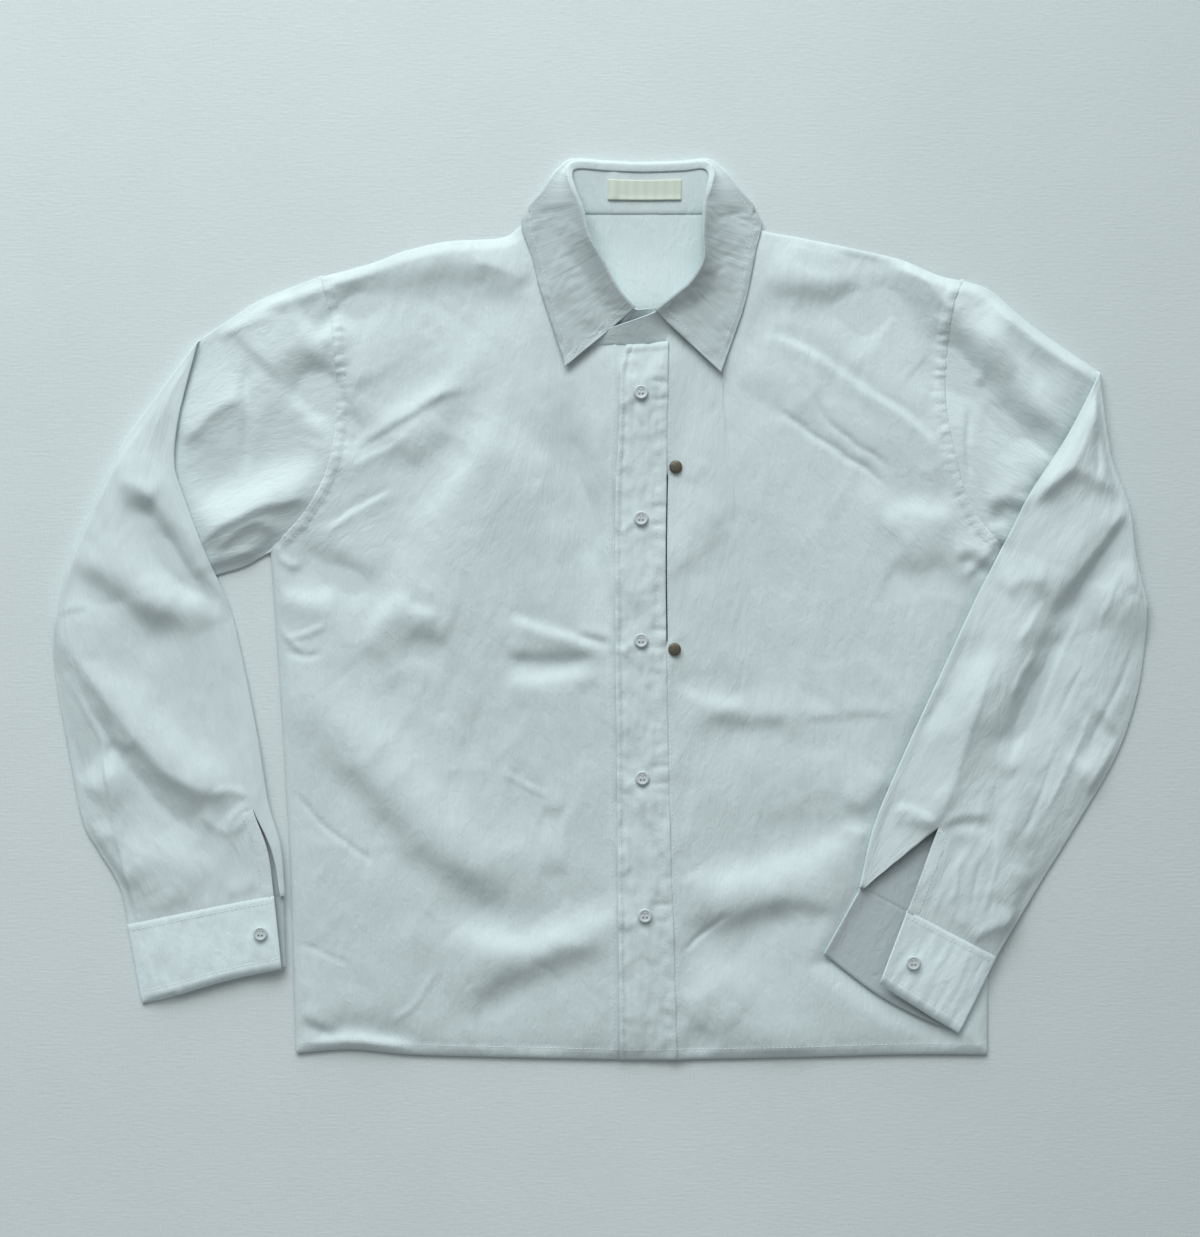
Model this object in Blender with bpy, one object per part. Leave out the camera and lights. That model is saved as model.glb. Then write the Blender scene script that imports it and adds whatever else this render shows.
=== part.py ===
"""A cropped long-sleeved shirt of crumpled washed cotton, laid flat with its front up.

The body lies flat and its two sleeves are folded over at the elbow, so the lower half of each
sleeve lies on the upper half with its back side up. The collar stands open and the placket is
buttoned. Sides are named as the wearer has them: right is at -X, left at +X. +Y points to the
collar and +Z up from the surface. Every size is in millimetres; place() turns it to metres.
"""
import math
from bisect import bisect_right
from collections import namedtuple

import bmesh
import bpy
from mathutils import Vector
from mathutils.bvhtree import BVHTree

METRE = 0.001

# Cloth
CLOTH = 1.2
CUFF_CLOTH = 1.6
LABEL_CLOTH = 0.8
SEAM = 0.5
BACK_INSET = 0.7
FLOOR_LAYER = CLOTH / 2
FRONT_EDGE = 2.4
LAYER = 1.8
ON_PANEL = 1.7
ON_BODY = 3.0
LAP_SHORT = 0.2
SEAM_RAISE = 1.2
SEAM_RAISE_WIDTH = 16.0

# Smooth lines, outlines and grids
CURVE_STEPS = 12
SIDE_STEP = 0.01
OUTLINE_STEP = 4
SHORTEST = 1e-12
MERGE = 1e-6
ROW_WEIGHT = 1000

# How far the laid cloth rises between its edges, and how fast
BODY_RISE = 6.0
COVERED_RISE = 1.5
SLEEVE_RISE = 6.0
RISE_LENGTH = 24.0
COVER_BLEND = 22.0
STEP_DOWN = 42.0

# Elbow fold, which takes the back of the sleeve round the outside and the front round the inside
OUTER_TURN = 3.6
INNER_TURN = 1.4
FOLD_ANGLES = (-90, -50, -17, 17, 50, 90)
EDGE_TURN_ANGLES = (60, 120)
EDGE_PROBE = 0.1

# Numbers of steps in the grids
SIDE_ROWS = 12
ARMHOLE_ROWS = 10
SHOULDER_COLUMNS = 9
NECK_COLUMNS = 4
PLACKET_COLUMNS = 3
PLACKET_TOP = 0.45
BACK_NECK_COLUMNS = 6
MAIN_COLUMNS = 8
FLAP_COLUMNS = 2
UPPER_RINGS = 6
LOWER_RINGS = 9
SLIT_RINGS = 3
CUFF_RINGS = 3
CUFF_GAP = 1.0
STRIP_STEPS = 2
STAND_STEPS = 3

# Buttons and rivets
BUTTON_RADIUS = 5.55
BUTTON_HEIGHT = 2.6
BUTTON_RIM = 1.3
BUTTON_WELL = 0.7
BUTTON_DISH = 0.8
BUTTON_FOOT = 0.6
BUTTON_SIDE = 0.8
BUTTON_ROUNDING = (0.35, 0.3)
RIVET_RADIUS = 5.0
RIVET_HEIGHT = 2.4
RIVET_FOOT = 0.3
RIVET_SIDE = 0.6
RIVET_DOME = ((0.8, 0.72), (0.45, 0.95))
ROUND_SEGMENTS = 16
SEAT_GAP = 0.3
SEAT_RINGS = (0.5, 1.0)
SEAT_SPOKES = 12
PLACKET_BUTTONS = ((32, 169), (32, 71), (32, -24), (33, -131), (35, -238))
RIVETS = {"rivet_upper": (59, 111), "rivet_lower": (58, -31)}

# The body's outline, each line a few points (x, y) that a smooth curve runs through
SHOULDER_RIGHT = ((-34, 308), (-60, 300), (-76, 290), (-119, 287), (-154, 279), (-178, 270), (-218, 259))
SHOULDER_LEFT = ((95, 310), (126, 296), (156, 290), (195, 282), (234, 273), (263, 261), (283, 256))
ARMHOLE_RIGHT = ((-218, 259), (-211, 230), (-207, 195), (-206, 150), (-212, 112), (-229, 78), (-257, 47))
ARMHOLE_LEFT = ((283, 256), (275, 235), (271, 199), (270, 160), (277, 120), (290, 79), (314, 48))
SIDE_RIGHT = ((-257, 47), (-254, 7), (-250, -50), (-246, -117), (-242, -188), (-240, -250), (-237, -346))
SIDE_LEFT = ((314, 48), (316, 15), (312, -60), (307, -188), (303, -273), (302, -347))
HEM_RIGHT = ((-237, -346), (-195, -343), (-148, -347), (-78, -349), (15.5, -351))
HEM_LEFT = ((60.5, -351), (156, -349), (234, -347), (302, -347))
PLACKET_EDGE = ((15, 220), (15, 148), (12, 85), (12, -39), (13, -102), (14, -220), (15.5, -351))
PLACKET_SEAM = ((53, 218), (53, 188), (52, 113), (51, 26), (53, -102), (55, -186), (58, -271), (60, -351))
NECK_RIGHT = ((-34, 308), (-31, 284), (-20, 257), (-4, 236), (15, 220))
NECK_LEFT = ((95, 310), (97, 284), (88, 260), (72, 240), (53.5, 218))
NECK_BACK = ((-34, 308), (0, 310), (30, 310), (62, 310), (95, 310))

# A sleeve: its top line A and underarm line B above and below the elbow fold, the fold itself,
# the seam to the cuff and the cuff's edge, all from A to B, and the slit above the cuff
Sleeve = namedtuple("Sleeve", "armhole top_a top_b fold low_a low_b seam edge slit cuff_slit outward")
Slit = namedtuple("Slit", "along main flap")
SLEEVE_RIGHT = Sleeve(
    armhole=ARMHOLE_RIGHT,
    top_a=((-218, 259), (-264, 241), (-288, 226), (-314, 209)),
    top_b=((-257, 47), (-276, 35), (-302, 27), (-351, 12), (-424, -8)),
    fold=((-314, 209), (-345, 167), (-374, 126), (-398, 76), (-415, 35), (-424, -8)),
    low_a=(
        (-314, 209), (-328, 152), (-332, 114), (-325, 88), (-307, 41), (-289, -2), (-278, -49),
        (-267, -106), (-260, -150), (-250, -185), (-247, -223),
    ),
    low_b=(
        (-424, -8), (-425, -45), (-414, -110), (-403, -164), (-391, -187), (-374, -216), (-367, -247),
    ),
    seam=((-247, -223), (-310, -235), (-367, -247)),
    edge=((-245, -279), (-291, -289), (-332, -301), (-356, -307)),
    slit=(
        Slit(0.832, 0.085, 0.085), Slit(0.89, 0.075, 0.060), Slit(0.945, 0.065, 0.035),
        Slit(1.0, 0.055, 0.018),
    ),
    cuff_slit=(0.055, 0.025),
    outward=-1,
)
SLEEVE_LEFT = Sleeve(
    armhole=ARMHOLE_LEFT,
    top_a=((283, 256), (304, 248), (329, 227), (349, 212), (390, 184)),
    top_b=((314, 48), (350, 34), (390, 20), (426, 7)),
    fold=((390, 184), (394, 150), (400, 115), (413, 79), (418, 42), (426, 7)),
    low_a=(
        (390, 184), (364, 134), (335, 89), (320, 59), (293, 7), (265, -53), (237, -114),
        (214, -169), (203, -216),
    ),
    low_b=((426, 7), (425, -24), (418, -68), (401, -116), (367, -174), (339, -219), (307, -271)),
    seam=((203, -216), (250, -241), (307, -271)),
    edge=((174, -268), (215, -299), (250, -318), (278, -329)),
    slit=(
        Slit(0.82, 0.345, 0.345), Slit(0.87, 0.355, 0.277), Slit(0.91, 0.357, 0.213),
        Slit(0.95, 0.350, 0.134), Slit(1.0, 0.335, 0.018),
    ),
    cuff_slit=(0.335, 0.40),
    outward=1,
)
CUFF_BUTTON_RIGHT = (-264, -252)
CUFF_BUTTON_LEFT = (243, -274)
BINDING_SHARE = {"sleeve_placket_right": 0.55, "sleeve_placket_left": 0.75}

# The collar, a row for each section from the right front round the back to the left front: the
# crest of its roll, the heading in degrees in which the fall leaves it, how far the fall reaches
# in plan, how much of it is tucked back under, the lip inside the crest, and the neck seam below
Section = namedtuple("Section", "x y z heading reach under lip neck_x neck_y")
COLLAR = (
    Section(27, 234, 16.0, 220, 71, 0, 0, 14, 222),
    Section(20, 241, 17.5, 222, 66, 0, 0, 2, 231),
    Section(11, 253, 19.0, 214, 58, 0, 0, -9, 242),
    Section(0, 274, 20.0, 209, 53, 0, 0, -20, 257),
    Section(-9, 291, 20.0, 201, 47, 0, 0, -28, 276),
    Section(-14, 310, 18.0, 191, 48, 0, 1, -33, 296),
    Section(-17, 318, 16.0, 184, 38, 8, 1, -34, 308),
    Section(-21, 326, 13.5, 176, 24, 21, 2, -27, 310),
    Section(-25, 340, 9.0, 152, 9, 34, 3, -17, 311),
    Section(-19, 348, 6.5, 112, 4, 36, 4, -6, 311),
    Section(6, 347, 5.4, 91, 3, 34, 5, 6, 311),
    Section(34, 346, 5.4, 90, 3, 33, 5, 34, 311),
    Section(64, 347, 5.4, 89, 3, 34, 5, 63, 311),
    Section(82, 348, 6.5, 68, 4, 36, 4, 73, 311),
    Section(88, 340, 9.0, 29, 9, 34, 3, 83, 311),
    Section(85, 326, 13.5, 6, 24, 21, 2, 91, 310),
    Section(82, 318, 16.0, -4, 38, 8, 1, 95, 308),
    Section(81, 310, 18.0, -11, 46, 0, 1, 97, 296),
    Section(80, 291, 20.0, -15, 43, 0, 0, 97, 280),
    Section(80, 271, 20.0, -23, 40, 0, 0, 91, 264),
    Section(71, 255, 19.0, -41, 49, 0, 0, 82, 250),
    Section(61, 246, 17.5, -46, 58, 0, 0, 70, 238),
    Section(43, 232, 16.0, -43, 70, 0, 0, 57, 224),
)
LABEL_SECTIONS = (10, 12)
LABEL_SPAN = (0.30, 0.76)
STAND_END_RIGHT = Section(41, 231, 13.0, 0, 0, 0, 0, 42, 218)
STAND_END_LEFT = Section(24, 234, 14.8, 0, 0, 0, 0, 23, 224)
CREST_FLAT = 0.8
LIP_SLOPE = 0.15
FALL_OUTER = (0.25, 0.5, 0.75, 1.0)
FALL_DROP = 1.4
FALL_TAIL = 0.8
FALL_CLEAR = 2.6
TAIL_STEPS = 4
TUCK_RADIUS = 1.8
TUCK_ANGLES = (30, -30, -90)
STAND_BELOW = 1.9
STAND_INSIDE = 1.0
STAND_ON_FRONT = 0.4
BACK_STAND = 2.5
BACK_NECK_Y = 309

# The largest folds: the line each runs along, how wide it is and how far it rises or sinks
Fold = namedtuple("Fold", "line width height")
BODY_FOLDS = (
    Fold(((-199, 121), (-98, 191)), 15, 4.0),
    Fold(((-199, 98), (-101, 162)), 15, -2.5),
    Fold(((-20, 140), (-8, 60), (6, -24)), 15, -3.0),
    Fold(((-52, 148), (-38, 60), (-26, 0)), 22, 3.0),
    Fold(((-55, -10), (4, -28)), 11, 3.0),
    Fold(((-70, -36), (0, -42)), 12, -3.0),
    Fold(((-246, 7), (-156, 0)), 15, 3.0),
    Fold(((-225, -72), (-140, -118), (-70, -180)), 22, 3.5),
    Fold(((-226, -110), (-179, -147), (-117, -200), (-68, -250)), 20, -4.0),
    Fold(((-133, -258), (-55, -268), (8, -232)), 15, 4.0),
    Fold(((8, -258), (-47, -292), (-117, -322)), 14, -3.0),
    Fold(((137, 158), (172, 136), (226, 93)), 13, -3.0),
    Fold(((120, 185), (165, 165), (214, 130)), 15, 3.0),
    Fold(((203, 190), (250, 150), (262, 109)), 15, 3.0),
    Fold(((218, 82), (257, 66)), 16, 3.5),
    Fold(((78, -80), (240, -80)), 13, 2.5),
    Fold(((78, -104), (180, -106)), 14, -2.0),
    Fold(((78, -215), (140, -196), (190, -184)), 17, 4.0),
    Fold(((66, -281), (105, -240), (156, -246)), 15, -3.0),
    Fold(((100, -280), (160, -306)), 16, 3.0),
    Fold(((-308, 60), (-262, 92), (-215, 120)), 14, 5.0),
    Fold(((-288, 52), (-255, 72), (-222, 82)), 11, -2.5),
    Fold(((252, 250), (290, 214), (320, 163)), 13, -3.0),
    Fold(((312, 218), (344, 172), (359, 140)), 15, 4.0),
)
SLEEVE_FOLDS = (
    Fold(((-386, 97), (-345, 80), (-310, 36)), 14, -3.0),
    Fold(((-405, -12), (-366, -70), (-320, -133), (-285, -146)), 15, 4.0),
    Fold(((-418, -40), (-390, -84), (-355, -130), (-330, -168)), 14, -4.0),
    Fold(((-395, -130), (-370, -180), (-345, -225)), 14, 2.5),
    Fold(((388, 110), (328, -8), (281, -117)), 16, 3.5),
    Fold(((406, 78), (352, -12), (320, -75), (293, -133)), 14, -4.0),
    Fold(((412, -20), (374, -117), (322, -205)), 18, 3.5),
)

# Colours in sRGB, and how rough each finish is
CLOTH_COLOUR = "D6E1E2"
CLOTH_ROUGHNESS = 0.9
BUTTON_COLOUR = "EEF2F0"
BUTTON_ROUGHNESS = 0.35
RIVET_COLOUR = "7A6A4C"
RIVET_ROUGHNESS = 0.45
LABEL_COLOUR = "E1EBDD"
LABEL_ROUGHNESS = 0.8


def clear_scene():
    """Removes every object that the new scene starts with."""
    for item in list(bpy.data.objects):
        bpy.data.objects.remove(item, do_unlink=True)


def linear(hex_colour):
    """Turns an sRGB hex colour to linear red, green, blue and alpha."""
    values = []
    for start in (0, 2, 4):
        value = int(hex_colour[start:start + 2], 16) / 255
        values.append(value / 12.92 if value <= 0.04045 else ((value + 0.055) / 1.055) ** 2.4)
    return (*values, 1.0)


def finish(name, hex_colour, roughness, metallic=0.0):
    """Makes a Principled material of one colour."""
    material = bpy.data.materials.new(name)
    material.use_nodes = True
    shader = material.node_tree.nodes["Principled BSDF"]
    shader.inputs["Base Color"].default_value = linear(hex_colour)
    shader.inputs["Roughness"].default_value = roughness
    shader.inputs["Metallic"].default_value = metallic
    return material


class Curve:
    """A smooth line through a few points, read by the share of its length."""

    def __init__(self, rows):
        points = [Vector(row) for row in rows]
        before = [points[0] * 2 - points[1]]
        after = [points[-1] * 2 - points[-2]]
        posts = before + points + after
        self.points = [points[0]]
        for a, b, c, d in zip(posts, posts[1:], posts[2:], posts[3:]):
            for step in range(1, CURVE_STEPS + 1):
                t = step / CURVE_STEPS
                bend = (a * -1 + b * 3 - c * 3 + d) * t ** 3 + (a * 2 - b * 5 + c * 4 - d) * t ** 2
                self.points.append(b + ((c - a) * t + bend) / 2)
        self.lengths = [0.0]
        for start, end in zip(self.points, self.points[1:]):
            self.lengths.append(self.lengths[-1] + (end - start).length)

    def at(self, share):
        """Gives the point at a share, 0 to 1, of the length."""
        target = min(max(share, 0.0), 1.0) * self.lengths[-1]
        index = min(bisect_right(self.lengths, target), len(self.lengths) - 1)
        span = self.lengths[index] - self.lengths[index - 1]
        mix = (target - self.lengths[index - 1]) / span
        return self.points[index - 1].lerp(self.points[index], mix)

    def side(self, share, hand):
        """Gives the unit vector square to the line; hand is 1 for its left and -1 for its right."""
        along = self.at(min(share + SIDE_STEP, 1)) - self.at(max(share - SIDE_STEP, 0))
        return Vector((-along.y, along.x)).normalized() * hand


class Chain:
    """Several curves end to end, each with its own number of steps."""

    def __init__(self, *links):
        self.links = links
        self.steps = sum(steps for curve, steps in links)

    def at(self, share):
        """Gives the point at a share, 0 to 1, of the steps."""
        place = share * self.steps
        for curve, steps in self.links:
            if place <= steps:
                return curve.at(place / steps)
            place -= steps
        return self.links[-1][0].at(1)


def back_to_front(rows):
    """Turns a line's points round."""
    return tuple(reversed(rows))


def patch(south, north, west, east):
    """Returns a function of (across, along) that fills the four edge curves."""
    def point(u, v):
        ruled = south.at(u) * (1 - v) + north.at(u) * v + west.at(v) * (1 - u) + east.at(v) * u
        low = south.at(0) * (1 - u) + south.at(1) * u
        high = north.at(0) * (1 - u) + north.at(1) * u
        return ruled - low * (1 - v) - high * v
    return point


def distance_to(line, x, y):
    """Gives the distance from (x, y) to a line of points."""
    best = math.inf
    for start, end in zip(line, line[1:]):
        dx, dy = end[0] - start[0], end[1] - start[1]
        share = ((x - start[0]) * dx + (y - start[1]) * dy) / (dx * dx + dy * dy + SHORTEST)
        share = min(max(share, 0.0), 1.0)
        best = min(best, math.hypot(x - start[0] - dx * share, y - start[1] - dy * share))
    return best


def is_inside(loop, x, y):
    """Says whether (x, y) lies inside a closed loop of points."""
    inside = False
    for start, end in zip(loop, loop[1:] + loop[:1]):
        if (start[1] > y) != (end[1] > y):
            crossing = start[0] + (y - start[1]) / (end[1] - start[1]) * (end[0] - start[0])
            inside ^= x < crossing
    return inside


def ease(value):
    """Eases 0 to 1 with level ends."""
    value = min(max(value, 0.0), 1.0)
    return value * value * (3 - 2 * value)


def outline_of(*lines):
    """Joins lines into one list of points a smooth curve gives."""
    points = []
    for rows in lines:
        points.extend((point.x, point.y) for point in Curve(rows).points[::OUTLINE_STEP])
    return points


# The laid body with the upper halves of its sleeves, open at the neck, and each lower half
SILHOUETTE = outline_of(
    SHOULDER_RIGHT, SLEEVE_RIGHT.top_a, SLEEVE_RIGHT.fold, back_to_front(SLEEVE_RIGHT.top_b),
    SIDE_RIGHT, HEM_RIGHT, HEM_LEFT, back_to_front(SIDE_LEFT), SLEEVE_LEFT.top_b,
    back_to_front(SLEEVE_LEFT.fold), back_to_front(SLEEVE_LEFT.top_a), back_to_front(SHOULDER_LEFT),
)
LOWER_HALVES = {
    sleeve.outward: outline_of(
        (sleeve.edge[0], sleeve.seam[0]), back_to_front(sleeve.low_a), sleeve.fold, sleeve.low_b,
        (sleeve.seam[-1], sleeve.edge[-1]),
    )
    for sleeve in (SLEEVE_RIGHT, SLEEVE_LEFT)
}


def covered(x, y):
    """Says how far a point lies under a folded lower sleeve, 0 to 1."""
    loop = LOWER_HALVES[1 if x > 0 else -1]
    depth = distance_to(loop, x, y)
    if not is_inside(loop, x, y):
        depth = -depth
    return ease(0.5 + depth / COVER_BLEND)


def folds_at(folds, x, y):
    """Adds up what the folds lift or sink the cloth by at a point."""
    total = 0.0
    for fold in folds:
        total += fold.height * math.exp(-(distance_to(fold.line, x, y) / fold.width) ** 2)
    return total


def rise(depth):
    """Gives the share of the full rise that cloth reaches at a distance from its edge."""
    return 1 - math.exp(-depth / RISE_LENGTH)


def front_height(x, y):
    """Gives the height of the front layer of the body and the upper sleeves."""
    depth = distance_to(SILHOUETTE, x, y)
    cover = covered(x, y)
    lift = BODY_RISE + (COVERED_RISE - BODY_RISE) * cover
    return FRONT_EDGE + rise(depth) * (lift + folds_at(BODY_FOLDS, x, y) * (1 - cover))


def support_height(x, y):
    """Gives the height of the under layer of a folded sleeve, on the body or on the floor."""
    if is_inside(SILHOUETTE, x, y):
        return front_height(x, y) + ON_BODY
    fall = ease(1 - distance_to(SILHOUETTE, x, y) / STEP_DOWN)
    return FLOOR_LAYER + (FRONT_EDGE + ON_BODY - FLOOR_LAYER) * fall


def folded_height(x, y):
    """Gives the height of the top layer of a folded sleeve."""
    depth = distance_to(LOWER_HALVES[1 if x > 0 else -1], x, y)
    return support_height(x, y) + LAYER + rise(depth) * (SLEEVE_RISE + folds_at(SLEEVE_FOLDS, x, y))


def place(bm, rows):
    """Moves the vertices of a bmesh grid to rows of points and turns them to metres."""
    points = [point for row in rows for point in row]
    for vertex, point in zip(bm.verts, points):
        vertex.co = Vector(point) * METRE


def add_object(name, bm, material):
    """Makes a named, smooth-shaded object of a bmesh."""
    mesh = bpy.data.meshes.new(name)
    bm.to_mesh(mesh)
    bm.free()
    mesh.materials.append(material)
    mesh.shade_smooth()
    item = bpy.data.objects.new(name, mesh)
    bpy.context.scene.collection.objects.link(item)
    return item


def cloth_sheet(name, rows, material, thickness=CLOTH):
    """Makes a closed wall of cloth around rows of middle points."""
    bm = bmesh.new()
    bmesh.ops.create_grid(bm, x_segments=len(rows[0]) - 1, y_segments=len(rows) - 1, size=0.5)
    bm.verts.sort(key=lambda vertex: vertex.co.y * ROW_WEIGHT + vertex.co.x)
    place(bm, rows)
    bmesh.ops.remove_doubles(bm, verts=bm.verts, dist=MERGE)
    item = add_object(name, bm, material)
    wall = item.modifiers.new("Wall", "SOLIDIFY")
    wall.thickness = thickness * METRE
    wall.offset = 0
    return item


def centre_seam_raise(x, seam_x):
    """Lifts the left front beside the placket, where the strip is sewn to it."""
    return SEAM_RAISE * ease(1 - (x - seam_x) / SEAM_RAISE_WIDTH)


def body_side(side, armhole):
    """Joins a side seam and the armhole above it, from the hem up."""
    return Chain((Curve(back_to_front(side)), SIDE_ROWS), (Curve(back_to_front(armhole)), ARMHOLE_ROWS))


def front_right(material):
    """Makes the right front, whose last columns run on under the placket.

    Returns the rows of the strip that lies on those columns.
    """
    west = body_side(SIDE_RIGHT, ARMHOLE_RIGHT)
    shoulder = Curve(back_to_front(SHOULDER_RIGHT))
    north = Chain((shoulder, SHOULDER_COLUMNS), (Curve(NECK_RIGHT), NECK_COLUMNS))
    east = Curve(back_to_front(PLACKET_EDGE))
    seam = Curve(back_to_front(PLACKET_SEAM))
    plan = patch(Curve(HEM_RIGHT), north, west, east)
    columns = SHOULDER_COLUMNS + NECK_COLUMNS
    last_row = SIDE_ROWS + ARMHOLE_ROWS
    rows = []
    strip = []
    for j in range(last_row + 1):
        v = j / last_row
        spots = [plan(i / columns, v) for i in range(columns)]
        lap = [east.at(v).lerp(seam.at(v), i / PLACKET_COLUMNS) for i in range(PLACKET_COLUMNS + 1)]
        under = lap[:-1] + [lap[-1].lerp(lap[-2], LAP_SHORT)]
        rows.append([(p.x, p.y, front_height(p.x, p.y)) for p in spots + under])
        strip.append([Vector((p.x, p.y, front_height(p.x, p.y) + ON_PANEL)) for p in lap])
    strip[-1] = [low.lerp(high, PLACKET_TOP) for low, high in zip(strip[-2], strip[-1])]
    cloth_sheet("front_right", rows, material)
    return strip


def front_left(material):
    """Makes the left front, from the placket's seam to its side."""
    west = Curve(back_to_front(PLACKET_SEAM))
    east = body_side(SIDE_LEFT, ARMHOLE_LEFT)
    neck = Curve(back_to_front(NECK_LEFT))
    north = Chain((neck, NECK_COLUMNS), (Curve(SHOULDER_LEFT), SHOULDER_COLUMNS))
    plan = patch(Curve(HEM_LEFT), north, west, east)
    columns = SHOULDER_COLUMNS + NECK_COLUMNS
    last_row = SIDE_ROWS + ARMHOLE_ROWS
    rows = []
    for j in range(last_row + 1):
        v = j / last_row
        row = []
        for i in range(columns + 1):
            p = plan(i / columns, v)
            if i == 0:
                p = p + Vector((SEAM, 0))
            raised = centre_seam_raise(p.x, west.at(v).x)
            row.append((p.x, p.y, front_height(p.x, p.y) + raised))
        rows.append(row)
    return cloth_sheet("front_left", rows, material)


def back(material):
    """Makes the back, which lies flat on the surface."""
    west = body_side(SIDE_RIGHT, ARMHOLE_RIGHT)
    east = body_side(SIDE_LEFT, ARMHOLE_LEFT)
    north = Chain(
        (Curve(back_to_front(SHOULDER_RIGHT)), SHOULDER_COLUMNS), (Curve(NECK_BACK), BACK_NECK_COLUMNS),
        (Curve(SHOULDER_LEFT), SHOULDER_COLUMNS),
    )
    south = Curve(HEM_RIGHT + HEM_LEFT)
    plan = patch(south, north, west, east)
    columns = 2 * SHOULDER_COLUMNS + BACK_NECK_COLUMNS
    last_row = SIDE_ROWS + ARMHOLE_ROWS
    inset = {0: BACK_INSET, columns: -BACK_INSET}
    rows = []
    for j in range(last_row + 1):
        row = []
        for i in range(columns + 1):
            p = plan(i / columns, j / last_row)
            row.append((p.x + inset.get(i, 0), p.y, FLOOR_LAYER))
        rows.append(row)
    return cloth_sheet("back", rows, material)


def slit_shares(sleeve, along):
    """Gives how far across the sleeve the slit's two edges lie at a share of the lower half."""
    rows = sleeve.slit
    if along <= rows[0].along:
        return rows[0].main, rows[0].flap
    for low, high in zip(rows, rows[1:]):
        if along <= high.along:
            mix = (along - low.along) / (high.along - low.along)
            return low.main + (high.main - low.main) * mix, low.flap + (high.flap - low.flap) * mix
    return rows[-1].main, rows[-1].flap


def edge_turn(start, end, outward):
    """Gives the points that take a ring from one layer round its edge to the other."""
    centre = (start + end) / 2
    half = (start - end) / 2
    points = []
    for angle in EDGE_TURN_ANGLES:
        turn = math.radians(angle)
        points.append(centre + half * math.cos(turn) + outward * half.length * math.sin(turn))
    return points


def ring(back_layer, front_layer, main, flap):
    """Runs once round a sleeve, from one edge of the slit to the other.

    back_layer and front_layer give a layer's point at a share across, from A to B.
    """
    steps = [main + (1 - main) * i / MAIN_COLUMNS for i in range(MAIN_COLUMNS + 1)]
    over = [back_layer(w) for w in steps]
    under = [front_layer(1 - i / ARMHOLE_ROWS) for i in range(ARMHOLE_ROWS + 1)]
    tail = [back_layer(flap * i / FLAP_COLUMNS) for i in range(FLAP_COLUMNS + 1)]
    across = (back_layer(1) - back_layer(1 - EDGE_PROBE)).normalized()
    back_across = (back_layer(0) - back_layer(EDGE_PROBE)).normalized()
    first_turn = edge_turn(over[-1], under[0], across)
    second_turn = edge_turn(under[-1], tail[0], back_across)
    return over + first_turn + under + second_turn + tail


def on_plan(plan, along, height):
    """Returns a layer: the plan's points at one share along, at the height given for each."""
    def layer(w):
        p = plan(w, along)
        return Vector((p.x, p.y, height(p.x, p.y)))
    return layer


def floor_height(x, y):
    """Gives the height of a layer that lies on the surface."""
    return FLOOR_LAYER


def sleeve_tube(name, sleeve, material):
    """Makes a sleeve from its armhole round the elbow fold to the seam of its cuff."""
    armhole = Curve(sleeve.armhole)
    fold = Curve(sleeve.fold)
    low_a, low_b = Curve(sleeve.low_a), Curve(sleeve.low_b)
    top = patch(armhole, fold, Curve(sleeve.top_a), Curve(sleeve.top_b))
    low = patch(fold, Curve(sleeve.seam), low_a, low_b)
    hand = sleeve.outward
    main, flap = slit_shares(sleeve, 0)
    middle = FRONT_EDGE + ON_BODY / 2

    def at_armhole(height):
        def layer(w):
            p = armhole.at(w) + armhole.side(w, hand) * SEAM
            return Vector((p.x, p.y, height(p.x, p.y)))
        return layer

    def at_fold(angle, radius, lift):
        def layer(w):
            inset = OUTER_TURN - radius * math.cos(angle)
            p = fold.at(w) - fold.side(w, hand) * inset
            return Vector((p.x, p.y, middle + lift * math.sin(angle)))
        return layer

    rings = [ring(at_armhole(floor_height), at_armhole(front_height), main, flap)]
    for step in range(1, UPPER_RINGS):
        along = step / UPPER_RINGS
        under, over = on_plan(top, along, floor_height), on_plan(top, along, front_height)
        rings.append(ring(under, over, main, flap))
    for degrees in FOLD_ANGLES:
        angle = math.radians(degrees)
        outer = at_fold(angle, OUTER_TURN, middle - FLOOR_LAYER)
        inner = at_fold(angle, INNER_TURN, ON_BODY / 2)
        rings.append(ring(outer, inner, main, flap))
    slit_top = sleeve.slit[0].along
    stations = [slit_top * step / LOWER_RINGS for step in range(1, LOWER_RINGS + 1)]
    stations += [slit_top + (1 - slit_top) * step / SLIT_RINGS for step in range(1, SLIT_RINGS + 1)]
    for along in stations:
        main, flap = slit_shares(sleeve, along)
        over, under = on_plan(low, along, folded_height), on_plan(low, along, support_height)
        rings.append(ring(over, under, main, flap))
    return cloth_sheet(name, rings, material), rings


def cuff(name, sleeve, material):
    """Makes a cuff, a band that starts at the slit and goes once round."""
    seam, edge = Curve(sleeve.seam), Curve(sleeve.edge)
    sides = [Curve((sleeve.seam[k], sleeve.edge[k])) for k in (0, -1)]
    plan = patch(seam, edge, *sides)
    start, end = sleeve.cuff_slit
    past_end = FLAP_COLUMNS + 1 + len(EDGE_TURN_ANGLES)
    rings = []
    for step in range(CUFF_RINGS + 1):
        along = step / CUFF_RINGS
        shift = Vector((0, 0 if step else -CUFF_GAP, (CUFF_CLOTH - CLOTH) / 2))
        top = on_plan(plan, along, folded_height)
        under = on_plan(plan, along, support_height)
        main = start + (end - start) * along
        rings.append([point + shift for point in ring(top, under, main, main)[:-past_end]])
    return cloth_sheet(name, rings, material, CUFF_CLOTH)


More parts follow.
